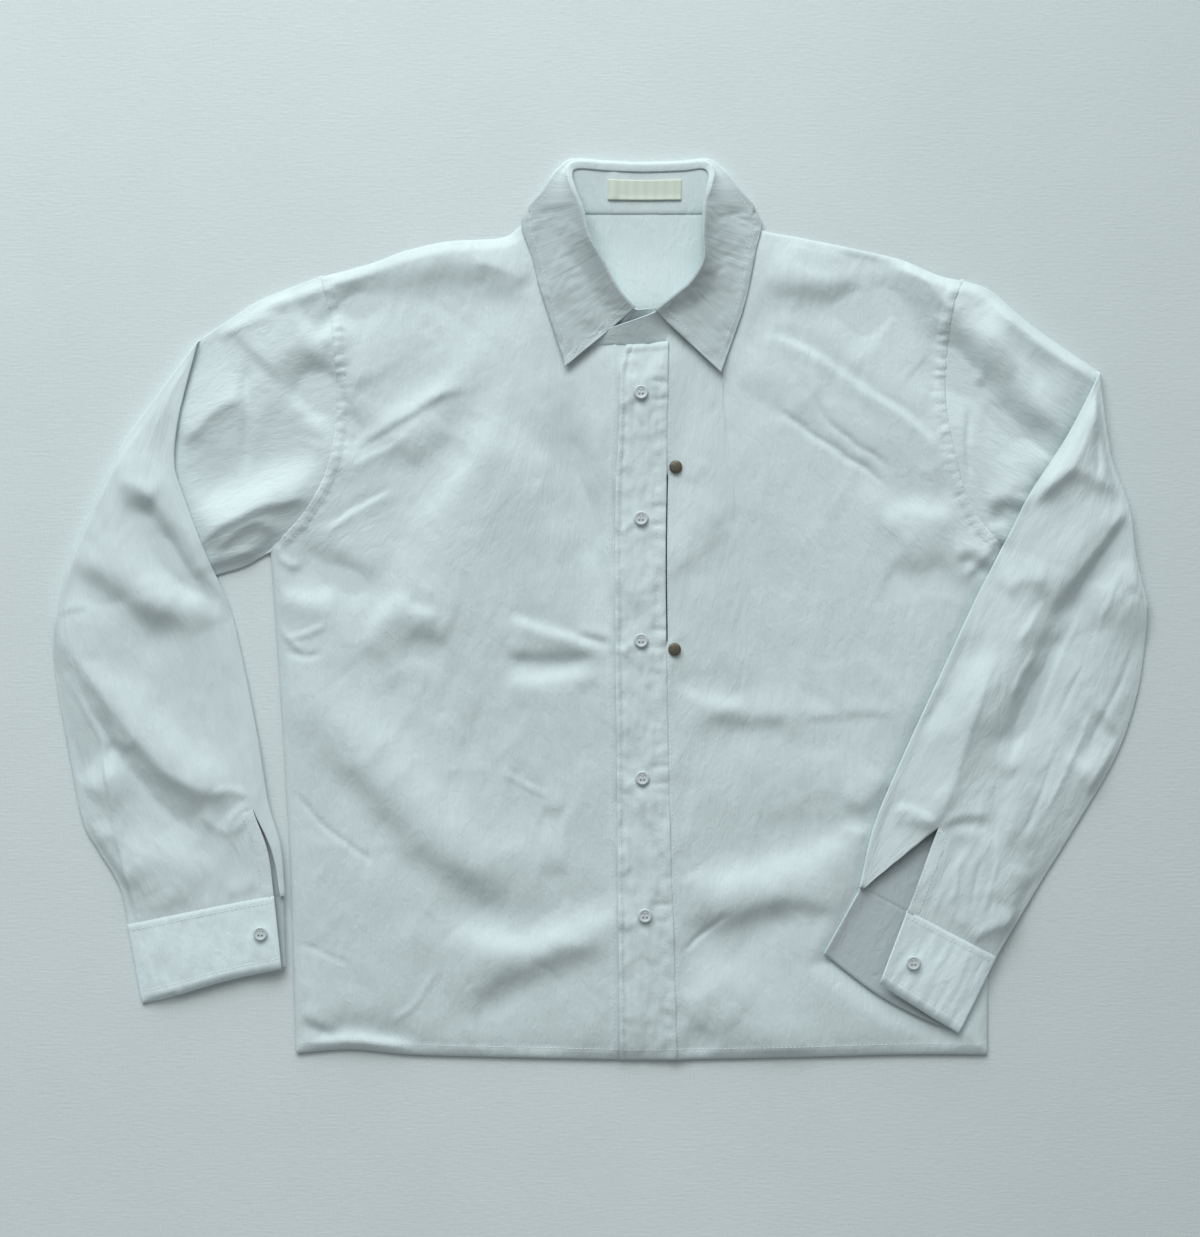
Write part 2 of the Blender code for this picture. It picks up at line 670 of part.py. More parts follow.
def sleeve_placket(name, rings, material):
    """Makes the strip sewn along the slit, from the sleeve's own points moved out."""
    lift = Vector((0, 0, ON_PANEL))
    shares = [BINDING_SHARE[name] * i / STRIP_STEPS for i in range(STRIP_STEPS + 1)]
    rows = []
    for turns in rings[-(SLIT_RINGS + 1):]:
        rows.append([turns[0].lerp(turns[1], share) + lift for share in shares])
    return cloth_sheet(name, rows, material)


def heading_vector(section):
    """Gives the unit vector in which the fall leaves the crest."""
    angle = math.radians(section.heading)
    return Vector((math.cos(angle), math.sin(angle)))


def on_the_body(x, y, height):
    """Lifts a point of the fall clear of the body below it."""
    if is_inside(SILHOUETTE, x, y):
        return max(height, front_height(x, y) + FALL_CLEAR)
    return height


def fall_section(section):
    """Gives the points of the collar's fall from its lip over the crest to its free edge."""
    away = heading_vector(section)
    crest = Vector((section.x, section.y))
    tip = crest + away * section.reach
    if section.under:
        end_z = FLOOR_LAYER + 2 * TUCK_RADIUS
        end = section.reach - TUCK_RADIUS
    else:
        end_z = on_the_body(tip.x, tip.y, FRONT_EDGE + FALL_CLEAR)
        end = section.reach * FALL_TAIL
    path = [(-section.lip, section.z - LIP_SLOPE * section.lip), (CREST_FLAT, section.z)]
    for share in FALL_OUTER:
        height = end_z + (section.z - end_z) * (1 - share) ** FALL_DROP
        path.append((CREST_FLAT + (end - CREST_FLAT) * share, height))
    if section.under:
        for degrees in TUCK_ANGLES:
            turn = math.radians(degrees)
            height = end_z + TUCK_RADIUS * (math.sin(turn) - 1)
            path.append((end + TUCK_RADIUS * math.cos(turn), height))
        path.append((section.reach - section.under, FLOOR_LAYER))
    else:
        for step in range(1, TAIL_STEPS + 1):
            path.append((end + (section.reach - end) * step / TAIL_STEPS, end_z))
    points = []
    for distance, height in path:
        p = crest + away * distance
        lifted = height if section.under else on_the_body(p.x, p.y, height)
        points.append((p.x, p.y, lifted))
    return points


def stand_section(section):
    """Gives the points of the collar stand from the neck seam up to the fall."""
    away = heading_vector(section)
    top = Vector((section.x, section.y)) + away * (STAND_INSIDE - section.lip)
    high = section.z - STAND_BELOW - LIP_SLOPE * section.lip
    if section.neck_y > BACK_NECK_Y:
        low = BACK_STAND
    else:
        low = front_height(section.neck_x, section.neck_y) + ON_PANEL + STAND_ON_FRONT
    neck = Vector((section.neck_x, section.neck_y, low))
    crest = Vector((top.x, top.y, high))
    return [neck.lerp(crest, step / STAND_STEPS) for step in range(STAND_STEPS + 1)]


def collar(material):
    """Makes the fall and the stand, and returns the stand's sections for the label."""
    cloth_sheet("collar", [fall_section(section) for section in COLLAR], material)
    ends = (STAND_END_RIGHT,) + COLLAR + (STAND_END_LEFT,)
    sections = [stand_section(section) for section in ends]
    for point in sections[-1]:
        point.z += ON_PANEL
    cloth_sheet("collar_stand", sections, material)
    return sections[1:-1]


def neck_label(sections, material):
    """Makes the bare woven label on the stand, from the stand's own points moved out."""
    first, last = LABEL_SECTIONS
    low, high = LABEL_SPAN
    shares = [low + (high - low) * i / STRIP_STEPS for i in range(STRIP_STEPS + 1)]
    lift = Vector((0, 0, (CLOTH + LABEL_CLOTH) / 2 + SEAT_GAP))
    rows = []
    for section in sections[first:last + 1]:
        rows.append([section[0].lerp(section[-1], share) + lift for share in shares])
    return cloth_sheet("neck_label", rows, material, LABEL_CLOTH)


def seat_height(carriers, x, y, radius):
    """Finds the highest point of the carriers under a round piece, in millimetres."""
    graph = bpy.context.evaluated_depsgraph_get()
    best = 0.0
    trees = [BVHTree.FromObject(carrier, graph) for carrier in carriers]
    spots = [(0.0, 0.0)]
    for share in SEAT_RINGS:
        for k in range(SEAT_SPOKES):
            angle = 2 * math.pi * k / SEAT_SPOKES
            spots.append((share * radius * math.cos(angle), share * radius * math.sin(angle)))
    for tree in trees:
        for dx, dy in spots:
            above = Vector(((x + dx) * METRE, (y + dy) * METRE, 1.0))
            hit = tree.ray_cast(above, Vector((0, 0, -1)))[0]
            if hit:
                best = max(best, hit.z / METRE)
    return best


def turned(name, profile, x, y, carriers, radius, material):
    """Turns a profile of (radius, height) into a round piece seated on its carriers."""
    base = seat_height(carriers, x, y, radius) + SEAT_GAP
    bm = bmesh.new()
    verts = [bm.verts.new(Vector((r, 0, z)) * METRE) for r, z in profile]
    edges = [bm.edges.new(pair) for pair in zip(verts, verts[1:])]
    bmesh.ops.spin(
        bm, geom=verts + edges, cent=(0, 0, 0), axis=(0, 0, 1), angle=2 * math.pi,
        steps=ROUND_SEGMENTS, use_merge=True,
    )
    bmesh.ops.remove_doubles(bm, verts=bm.verts, dist=MERGE)
    bmesh.ops.recalc_face_normals(bm, faces=bm.faces)
    item = add_object(name, bm, material)
    item.location = Vector((x, y, base)) * METRE
    return item


def button_profile():
    """Gives a shirt button's half section: a flat base, a round rim and a dished middle."""
    r, h = BUTTON_RADIUS, BUTTON_HEIGHT
    inward, downward = BUTTON_ROUNDING
    floor = h - BUTTON_DISH
    return (
        (0, 0), (r - BUTTON_FOOT, 0), (r, BUTTON_SIDE), (r - inward, h - downward),
        (r - BUTTON_RIM, h), (r - BUTTON_RIM - BUTTON_WELL, floor), (0, floor),
    )


def rivet_profile():
    """Gives a rivet cap's half section: a low dome on a straight foot."""
    r, h = RIVET_RADIUS, RIVET_HEIGHT
    dome = tuple((out * r, up * h) for out, up in RIVET_DOME)
    return ((0, 0), (r - RIVET_FOOT, 0), (r, RIVET_SIDE)) + dome + ((0, h),)


def build():
    """Builds the shirt piece by piece."""
    clear_scene()
    cotton = finish("washed_cotton", CLOTH_COLOUR, CLOTH_ROUGHNESS)
    button_white = finish("button_white", BUTTON_COLOUR, BUTTON_ROUGHNESS)
    bronze = finish("aged_bronze", RIVET_COLOUR, RIVET_ROUGHNESS, metallic=1.0)
    woven = finish("woven_label", LABEL_COLOUR, LABEL_ROUGHNESS)

    back(cotton)
    placket = cloth_sheet("placket", front_right(cotton), cotton)
    left_front = front_left(cotton)
    neck_label(collar(cotton), woven)

    for side, sleeve in (("right", SLEEVE_RIGHT), ("left", SLEEVE_LEFT)):
        tube, rings = sleeve_tube("sleeve_" + side, sleeve, cotton)
        band = cuff("cuff_" + side, sleeve, cotton)
        sleeve_placket("sleeve_placket_" + side, rings, cotton)
        x, y = CUFF_BUTTON_RIGHT if side == "right" else CUFF_BUTTON_LEFT
        turned("cuff_button_" + side, button_profile(), x, y, [band], BUTTON_RADIUS, button_white)

    for number, (x, y) in enumerate(PLACKET_BUTTONS, start=1):
        turned("button_%d" % number, button_profile(), x, y, [placket], BUTTON_RADIUS, button_white)
    for name, (x, y) in RIVETS.items():
        turned(name, rivet_profile(), x, y, [placket, left_front], RIVET_RADIUS, bronze)


build()
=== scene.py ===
"""A cropped shirt of washed white cotton, laid flat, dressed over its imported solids.

Sides are the wearer's: right is at -X and left at +X. +Y points to the collar and +Z up from the
surface. Sizes are in millimetres and turned to metres where a mesh is made. The outline, the height
of each layer and the collar's sections are the solids' own; creases, sewing and trim are added.
"""

import logging
import math
from dataclasses import dataclass
from enum import Enum
from typing import Callable, NamedTuple, Optional, Sequence, Union

import bmesh
import bpy
import numpy as np
from mathutils import Matrix, Vector
from mathutils.bvhtree import BVHTree


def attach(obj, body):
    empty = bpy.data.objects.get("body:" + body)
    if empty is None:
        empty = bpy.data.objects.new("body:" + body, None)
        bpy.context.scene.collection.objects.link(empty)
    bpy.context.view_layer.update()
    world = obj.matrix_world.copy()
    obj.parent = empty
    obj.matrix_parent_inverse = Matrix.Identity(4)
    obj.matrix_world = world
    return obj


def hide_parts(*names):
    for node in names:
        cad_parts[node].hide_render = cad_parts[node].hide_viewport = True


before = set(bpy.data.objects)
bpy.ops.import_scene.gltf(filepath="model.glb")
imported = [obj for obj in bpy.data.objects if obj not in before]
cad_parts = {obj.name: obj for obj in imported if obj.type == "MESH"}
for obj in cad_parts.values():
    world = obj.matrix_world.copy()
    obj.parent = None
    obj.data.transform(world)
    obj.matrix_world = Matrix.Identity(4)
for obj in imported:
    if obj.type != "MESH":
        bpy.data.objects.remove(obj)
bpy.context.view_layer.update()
LOG = logging.getLogger("shirt")

# Names of types
Array = np.ndarray
Mesh = bpy.types.Mesh
Piece = bpy.types.Object
Material = bpy.types.Material
Tree = bpy.types.NodeTree
Node = bpy.types.Node
Socket = bpy.types.NodeSocket
Line = Sequence[Sequence[float]]
Plan = Callable[[Array, Array], Array]

# Units, and how finely curves are followed
METRE = 0.001
PER_METRE = 1000.0
CURVE_STEPS = 12
LOOP_STRIDE = 4
CREASE_STRIDE = 3

# By how many radians a pattern of bands turns in one unit of its place
BAND_TURN = 20.0

# Cloth and its layers, as in the solids but with thinner cloth
CLOTH = 0.85
CUFF_CLOTH = 1.4
LABEL_CLOTH = 0.7
SEAM = 0.5
BACK_INSET = 0.7
FLOOR_LAYER = CLOTH / 2
FRONT_EDGE = 2.4
EDGE_DROP = 0.55
EDGE_DROP_LENGTH = 3.0
LAYER = 1.9
ON_PANEL = 1.4
ON_BODY = 3.0
STEP_DOWN = 42.0
OUTER_TURN = 3.6
INNER_TURN = 1.4

# How the cloth rises from its edges, on the body, near the shoulders and on the folded sleeves
BODY_RISE = 6.0
COVERED_RISE = 1.5
SLEEVE_RISE = 6.0
RISE_LENGTH = 15.0
SHOULDER_RISE_LENGTH = 36.0
SHOULDER_FROM = 150.0
SHOULDER_BLEND = 60.0
FOLD_SHARE = 0.3
SUPPORT_RELIEF = 0.45
EDGE_CALM = 9.0
SLEEVE_EDGE_CALM = 7.0

# Where the body is pressed flat, under the folded sleeves, the left cuff and the collar's leaves
COVER_BLEND = 22.0
COVER_CALM = 0.9
MOUTH_REACH = 9.0
CUFF_CALM = 0.97
CUFF_SPOT = (212.0, -292.0)
CUFF_SPOT_SIZE = (55.0, 38.0)
CUFF_SPOT_SPREAD = 1.6
LEAF_CALM = 0.6
LEAF_BLEND = 24.0

# The hollow of the fronts at the neck, and the back that shows above it
NECK_DIP = 5.4
NECK_DIP_CENTRE = (31.0, 212.0)
NECK_DIP_SIZE = (31.0, 17.0)
NECK_RISE_CENTRE = (31.0, 234.0)
NECK_RISE_WIDTH = 40.0
NECK_RISE_UP = 34.0
NECK_RISE_DOWN = 9.0

# The body's outline, each line a few points (x, y) that a smooth curve runs through
SHOULDER_RIGHT = ((-34, 308), (-60, 300), (-76, 290), (-119, 287), (-154, 279), (-178, 270), (-218, 259))
SHOULDER_LEFT = ((95, 310), (126, 296), (156, 290), (195, 282), (234, 273), (263, 261), (283, 256))
ARMHOLE_RIGHT = ((-218, 259), (-211, 230), (-207, 195), (-206, 150), (-212, 112), (-229, 78), (-257, 47))
ARMHOLE_LEFT = ((283, 256), (275, 235), (271, 199), (270, 160), (277, 120), (290, 79), (314, 48))
SIDE_RIGHT = ((-257, 47), (-254, 7), (-250, -50), (-246, -117), (-242, -188), (-240, -250), (-237, -346))
SIDE_LEFT = ((314, 48), (316, 15), (312, -60), (307, -188), (303, -273), (302, -347))
HEM_RIGHT = ((-237, -346), (-195, -343), (-148, -347), (-78, -349), (15.5, -351))
HEM_LEFT = ((60.5, -351), (156, -349), (234, -347), (302, -347))
PLACKET_EDGE = ((15, 220), (15, 148), (12, 85), (12, -39), (13, -102), (14, -220), (15.5, -351))
PLACKET_SEAM = ((53, 218), (53, 188), (52, 113), (51, 26), (53, -102), (55, -186), (58, -271), (60, -351))
NECK_RIGHT = ((-34, 308), (-31, 284), (-20, 257), (-4, 236), (15, 220))
NECK_LEFT = ((95, 310), (97, 284), (88, 260), (72, 240), (53.5, 218))
NECK_BACK = ((-34, 308), (0, 310), (30, 310), (62, 310), (95, 310))

# Steps of the solids' grids, which share out a chain of curves
SIDE_ROWS = 12
ARMHOLE_ROWS = 10
SHOULDER_COLUMNS = 9
NECK_COLUMNS = 4
BACK_NECK_COLUMNS = 6


class Slit(NamedTuple):
    """How far across the sleeve the slit's edges lie at a share along the lower half."""

    along: float
    main: float
    flap: float


class SleeveRows(NamedTuple):
    """A sleeve's lines from its armhole over the elbow fold to its cuff, and its slit."""

    armhole: Line
    top_a: Line
    top_b: Line
    fold: Line
    low_a: Line
    low_b: Line
    seam: Line
    edge: Line
    slit: tuple[Slit, ...]
    cuff_slit: tuple[float, float]
    outward: int


SLEEVE_RIGHT = SleeveRows(
    armhole=ARMHOLE_RIGHT,
    top_a=((-218, 259), (-264, 241), (-288, 226), (-314, 209)),
    top_b=((-257, 47), (-276, 35), (-302, 27), (-351, 12), (-424, -8)),
    fold=((-314, 209), (-345, 167), (-374, 126), (-398, 76), (-415, 35), (-424, -8)),
    low_a=((-314, 209), (-328, 152), (-332, 114), (-325, 88), (-307, 41), (-289, -2), (-278, -49),
           (-267, -106), (-260, -150), (-250, -185), (-247, -223)),
    low_b=((-424, -8), (-425, -45), (-414, -110), (-403, -164), (-391, -187), (-374, -216), (-367, -247)),
    seam=((-247, -223), (-310, -235), (-367, -247)),
    edge=((-245, -279), (-291, -289), (-332, -301), (-356, -307)),
    slit=(Slit(0.832, 0.085, 0.085), Slit(0.89, 0.075, 0.060), Slit(0.945, 0.065, 0.035),
          Slit(1.0, 0.055, 0.018)),
    cuff_slit=(0.055, 0.025),
    outward=-1,
)
SLEEVE_LEFT = SleeveRows(
    armhole=ARMHOLE_LEFT,
    top_a=((283, 256), (304, 248), (329, 227), (349, 212), (390, 184)),
    top_b=((314, 48), (350, 34), (390, 20), (426, 7)),
    fold=((390, 184), (394, 150), (400, 115), (413, 79), (418, 42), (426, 7)),
    low_a=((390, 184), (364, 134), (335, 89), (320, 59), (293, 7), (265, -53), (237, -114), (214, -169),
           (203, -216)),
    low_b=((426, 7), (425, -24), (418, -68), (401, -116), (367, -174), (339, -219), (307, -271)),
    seam=((203, -216), (250, -241), (307, -271)),
    edge=((174, -268), (215, -299), (250, -318), (278, -329)),
    slit=(Slit(0.82, 0.345, 0.345), Slit(0.87, 0.355, 0.277), Slit(0.91, 0.357, 0.213),
          Slit(0.95, 0.350, 0.134), Slit(1.0, 0.335, 0.018)),
    cuff_slit=(0.335, 0.40),
    outward=1,
)


class Fold(NamedTuple):
    """One of the solids' large folds: its line, how wide it is and how far it rises or sinks."""

    line: Line
    width: float
    height: float


BODY_FOLDS = (
    Fold(((-199, 121), (-98, 191)), 15, 4.0),
    Fold(((-199, 98), (-101, 162)), 15, -2.5),
    Fold(((-20, 140), (-8, 60), (6, -24)), 15, -3.0),
    Fold(((-52, 148), (-38, 60), (-26, 0)), 22, 3.0),
    Fold(((-55, -10), (4, -28)), 11, 3.0),
    Fold(((-70, -36), (0, -42)), 12, -3.0),
    Fold(((-246, 7), (-156, 0)), 15, 3.0),
    Fold(((-225, -72), (-140, -118), (-70, -180)), 22, 3.5),
    Fold(((-226, -110), (-179, -147), (-117, -200), (-68, -250)), 20, -4.0),
    Fold(((-133, -258), (-55, -268), (8, -232)), 15, 4.0),
    Fold(((8, -258), (-47, -292), (-117, -322)), 14, -3.0),
    Fold(((137, 158), (172, 136), (226, 93)), 13, -3.0),
    Fold(((120, 185), (165, 165), (214, 130)), 15, 3.0),
    Fold(((203, 190), (250, 150), (262, 109)), 15, 3.0),
    Fold(((218, 82), (257, 66)), 16, 3.5),
    Fold(((78, -80), (240, -80)), 13, 2.5),
    Fold(((78, -104), (180, -106)), 14, -2.0),
    Fold(((78, -215), (140, -196), (190, -184)), 17, 4.0),
    Fold(((66, -281), (105, -240), (156, -246)), 15, -3.0),
    Fold(((100, -280), (160, -306)), 16, 3.0),
    Fold(((-308, 60), (-262, 92), (-215, 120)), 14, 5.0),
    Fold(((-288, 52), (-255, 72), (-222, 82)), 11, -2.5),
    Fold(((252, 250), (290, 214), (320, 163)), 13, -3.0),
    Fold(((312, 218), (344, 172), (359, 140)), 15, 4.0),
)
SLEEVE_FOLDS = (
    Fold(((-386, 97), (-345, 80), (-310, 36)), 14, -3.0),
    Fold(((-405, -12), (-366, -70), (-320, -133), (-285, -146)), 15, 4.0),
    Fold(((-418, -40), (-390, -84), (-355, -130), (-330, -168)), 14, -4.0),
    Fold(((-395, -130), (-370, -180), (-345, -225)), 14, 2.5),
    Fold(((388, 110), (328, -8), (281, -117)), 16, 3.5),
    Fold(((406, 78), (352, -12), (320, -75), (293, -133)), 14, -4.0),
    Fold(((412, -20), (374, -117), (322, -205)), 18, 3.5),
)


class Profile(Enum):
    """How a crease rises across its line."""

    SOFT = "a rounded ridge or trough"
    RIDGE = "a ridge or trough with a sharp crest"
    STEP = "a slope along the line, up on its left and down on its right"
    FOLD = "a crest that falls off sharply on its right and slowly on its left"


# How a profile falls off beside its line, in widths, and up to how many widths away it shows
CREST = 0.2
STEP_TAIL = 3.0
FOLD_SLOPE = 2.4
CREASE_REACH = {Profile.SOFT: 2.6, Profile.RIDGE: 4.5, Profile.STEP: 7.0, Profile.FOLD: 11.0}


class Crease(NamedTuple):
    """A crease in the cloth: its line, how wide its slope is, its height and its profile."""

    line: Line
    width: float
    height: float
    profile: Profile

    def reach(self) -> float:
        """Gives how far from its line the crease still shows."""
        return self.width * CREASE_REACH[self.profile]

    def form(self, away: Array) -> Array:
        """Gives the height across the crease at signed distances from its line.

        Args:
            away: the signed distances, in millimetres.

        Returns:
            The heights, in millimetres.
        """
        across = away / self.width
        if self.profile is Profile.SOFT:
            return self.height * np.exp(-across ** 2)
        if self.profile is Profile.FOLD:
            across = np.where(across > 0, across / FOLD_SLOPE, across)
        if self.profile is not Profile.STEP:
            return self.height * np.exp(CREST - np.sqrt(across ** 2 + CREST ** 2))
        return self.height * np.tanh(across) * np.exp(-(across / STEP_TAIL) ** 2)


def creases(table: dict[Profile, Sequence[tuple]]) -> tuple[Crease, ...]:
    """Gives the creases of a table, whose rows are a width, a height and the line's points.

    Args:
        table: the rows of each profile.

    Returns:
        The creases, row by row.
    """
    return tuple(
        Crease(points, width, height, profile)
        for profile, rows in table.items() for width, height, *points in rows
    )


# Creases of the right front, from the shoulder down to the hem
FRONT_RIGHT_CREASES = creases({
    Profile.STEP: (
        (11, 3.4, (-98, 191), (-129, 170), (-156, 148), (-183, 128), (-211, 110)),
        (15, 5.2, (-234, 241), (-186, 254), (-137, 259), (-94, 257), (-48, 241)),
        (14, 3.4, (-234, 201), (-211, 185), (-193, 160)),
        (12, 4.6, (-220, -98), (-193, -129), (-150, -178), (-108, -211), (-62, -239)),
        (18, 4.2, (-59, -227), (-108, -169), (-168, -100), (-222, -32)),
        (12, 4.4, (35, -223), (-20, -250), (-59, -259), (-86, -254), (-125, -246)),
        (11, 3.4, (-113, -316), (-82, -295), (-47, -277), (12, -262)),
        (9, 3.6, (-20, 163), (-8, 101), (2, 39), (9, -18)),
        (15, 2.8, (3, 7), (-23, 54), (-55, 109), (-86, 163)),
        (22, 5.5, (-81, 175), (-115, 109), (-152, 39), (-181, -24)),
        (10, 2, (-140, 7), (-170, -2), (-197, -28)),
        (6, 2, (-137, -340), (-195, -333), (-234, -338)),
        (13, 2.2, (-211, 154), (-178, 142), (-140, 109)),
        (2.6, 1.5, (-195, 122), (-166, 140), (-135, 158), (-99, 174)),
        (2.2, 0.7, (-146, 142), (-166, 127), (-197, 111)),
        (5, 2, (-224, 220), (-205, 236), (-185, 259)),
        (5, 1.4, (-201, 228), (-221, 209)),
        (10, 2, (-242, 206), (-218, 191), (-195, 187)),
        (8, 2, (-156, 115), (-133, 123), (-113, 140)),
        (6, 1.5, (-80, 156), (-115, 96), (-140, 70)),
        (9, 1.6, (-5, 44), (-21, 85), (-37, 111), (-62, 132)),
        (9, 3, (-234, 54), (-203, 36), (-172, 15)),
        (2.2, 1.1, (-158, 96), (-195, 75), (-221, 60)),
        (6, 2, (-203, 15), (-229, 10), (-252, 18)),
        (5, 1.4, (-156, 18), (-169, 0), (-187, -34)),
        (4, 1.5, (-125, -3), (-151, 2)),
        (8, 2, (-151, -16), (-115, -26)),
        (4, 2, (10, -32), (-31, -18), (-78, -6)),
        (3, 1.6, (-21, -18), (10, -25)),
        (5, 2.4, (-78, -34), (-47, -37), (0, -37)),
        (6, 2, (-8, -42), (-47, -55), (-78, -47)),
        (4, 1, (-21, -60), (0, -55)),
        (6, 1.4, (-47, -155), (-27, -158)),
        (8, 1.4, (-51, -202), (-22, -202)),
        (5, 2.2, (-143, -338), (-195, -333), (-234, -334)),
        (4, 1.8, (-236, -316), (-216, -326), (-203, -332)),
    ),
    Profile.FOLD: (
        (5, 2, (-101, 271), (-78, 266), (-56, 255)),
        (6, 2, (-237, 241), (-211, 251), (-178, 262)),
    ),
    Profile.SOFT: (
        (2.4, 1.3, (-247, -24), (-230, -19), (-211, -12)),
        (2.2, -1.3, (-247, -33), (-228, -36), (-214, -33)),
        (2.4, 1.4, (-250, -10), (-242, -24), (-232, -33)),
        (3, 1.6, (-253, 42), (-240, 34), (-234, 39)),
        (1.9, -1.2, (-242, -138), (-216, -167), (-193, -185), (-169, -201)),
        (1.6, -0.9, (-236, -260), (-213, -268), (-193, -277)),
        (2, 0.8, (-78, -125), (-57, -138), (-37, -146)),
        (2.2, 0.8, (-125, -276), (-140, -302), (-166, -328)),
    ),
})
# Creases of the left front
FRONT_LEFT_CREASES = creases({
    Profile.SOFT: (
        (2.8, -1.6, (132, 163), (162, 139), (199, 115), (229, 92)),
        (2.6, -1.2, (162, 167), (186, 139), (211, 121), (232, 106)),
        (1.6, -0.8, (55, -39), (58, -59), (62, -78)),
        (2.4, -1.4, (62, -270), (80, -252), (104, -234)),
    ),
    Profile.STEP: (
        (3.2, 1.5, (275, 112), (257, 136), (229, 158), (196, 179), (162, 203), (116, 219)),
        (12, 4.4, (123, 257), (156, 245), (183, 248), (209, 259)),
        (13, 6.6, (209, 269), (238, 245), (273, 210), (315, 170)),
        (6, 1, (199, 277), (186, 259), (144, 270)),
        (8, 1, (260, 191), (247, 228), (211, 232)),
        (10, 3.2, (282, 79), (242, 78), (215, 67)),
        (9, 2.4, (225, 42), (247, 34), (273, 42)),
        (4, 2.6, (275, 35), (290, 42), (306, 26)),
        (8, 1.4, (62, 148), (70, 46)),
        (8, 1.4, (58, 18), (92, 63), (107, 88)),
        (5, 1.4, (116, -75), (76, -66), (55, -54)),
        (6, 1.8, (78, -80), (115, -88), (152, -85)),
        (3, 0.7, (156, -85), (195, -83), (234, -82)),
        (7, 2.2, (193, -161), (211, -149), (226, -130)),
        (4, 1.2, (211, -173), (186, -167)),
        (13, 4.8, (207, -172), (162, -194), (119, -206), (66, -217)),
        (7, 2.2, (126, -234), (156, -230), (186, -240)),
        (9, 3.2, (58, -245), (98, -242), (156, -231)),
        (17, 4.2, (191, -336), (126, -301), (76, -262)),
        (12, 2.2, (62, -298), (78, -319), (100, -336)),
        (7, 1.3, (65, -326), (86, -326)),
    ),
    Profile.FOLD: (
        (6, 3, (231, 271), (246, 263), (259, 251), (271, 235), (282, 221)),
        (4, 1.6, (156, 291), (195, 284), (234, 271), (275, 255)),
    ),
})
# Creases of the upper halves of both sleeves
UPPER_SLEEVE_CREASES = creases({
    Profile.FOLD: (
        (6, 3.4, (-270, 239), (-256, 241), (-241, 241), (-229, 246), (-212, 252)),
        (4, 1.8, (-301, 210), (-282, 220), (-263, 225), (-250, 227)),
        (6, 4.2, (-326, 128), (-314, 140), (-303, 151), (-293, 158), (-281, 163), (-271, 168)),
        (5, 5, (-318, 46), (-301, 59), (-284, 70), (-264, 78), (-242, 84), (-217, 85)),
        (4, 3.4, (-300, 43), (-287, 56), (-275, 64), (-264, 67), (-256, 63), (-252, 53)),
        (3, -1.4, (-298, 46), (-284, 49), (-265, 50)),
        (5, 3, (276, 254), (283, 253), (294, 253), (306, 252)),
        (11, 6.4, (300, 241), (317, 230), (334, 215), (352, 200), (370, 188), (393, 179)),
        (3.5, -2, (295, 160), (312, 145), (339, 129), (363, 112)),
        (3.5, 2.4, (274, 178), (287, 179), (303, 180)),
        (3, -1.8, (318, 92), (335, 90), (349, 103)),
        (5, 3.4, (279, 20), (300, 42), (324, 62)),
    ),
    Profile.SOFT: (
        (5, -2.4, (-275, 201), (-275, 156), (-278, 101)),
        (2.2, 0.9, (-234, 130), (-225, 128), (-217, 123)),
        (2.6, -2, (288, 160), (286, 131), (289, 99)),
    ),
    Profile.STEP: (
        (17, 5.4, (-250, 170), (-234, 185), (-211, 198)),
        (13, 5.8, (-203, 115), (-257, 99), (-289, 85), (-315, 70)),
        (5, 2.6, (-307, 29), (-287, 37), (-264, 42)),
        (12, 6.6, (267, 227), (281, 215), (298, 190), (314, 168), (332, 149), (360, 126)),
        (6, 2.4, (370, 135), (354, 150), (339, 174), (320, 201), (300, 230)),
        (4, 1.2, (300, 186), (277, 184)),
        (5, 3, (300, 76), (318, 82), (337, 81)),
        (3, 1.2, (320, 68), (300, 64)),
    ),
})
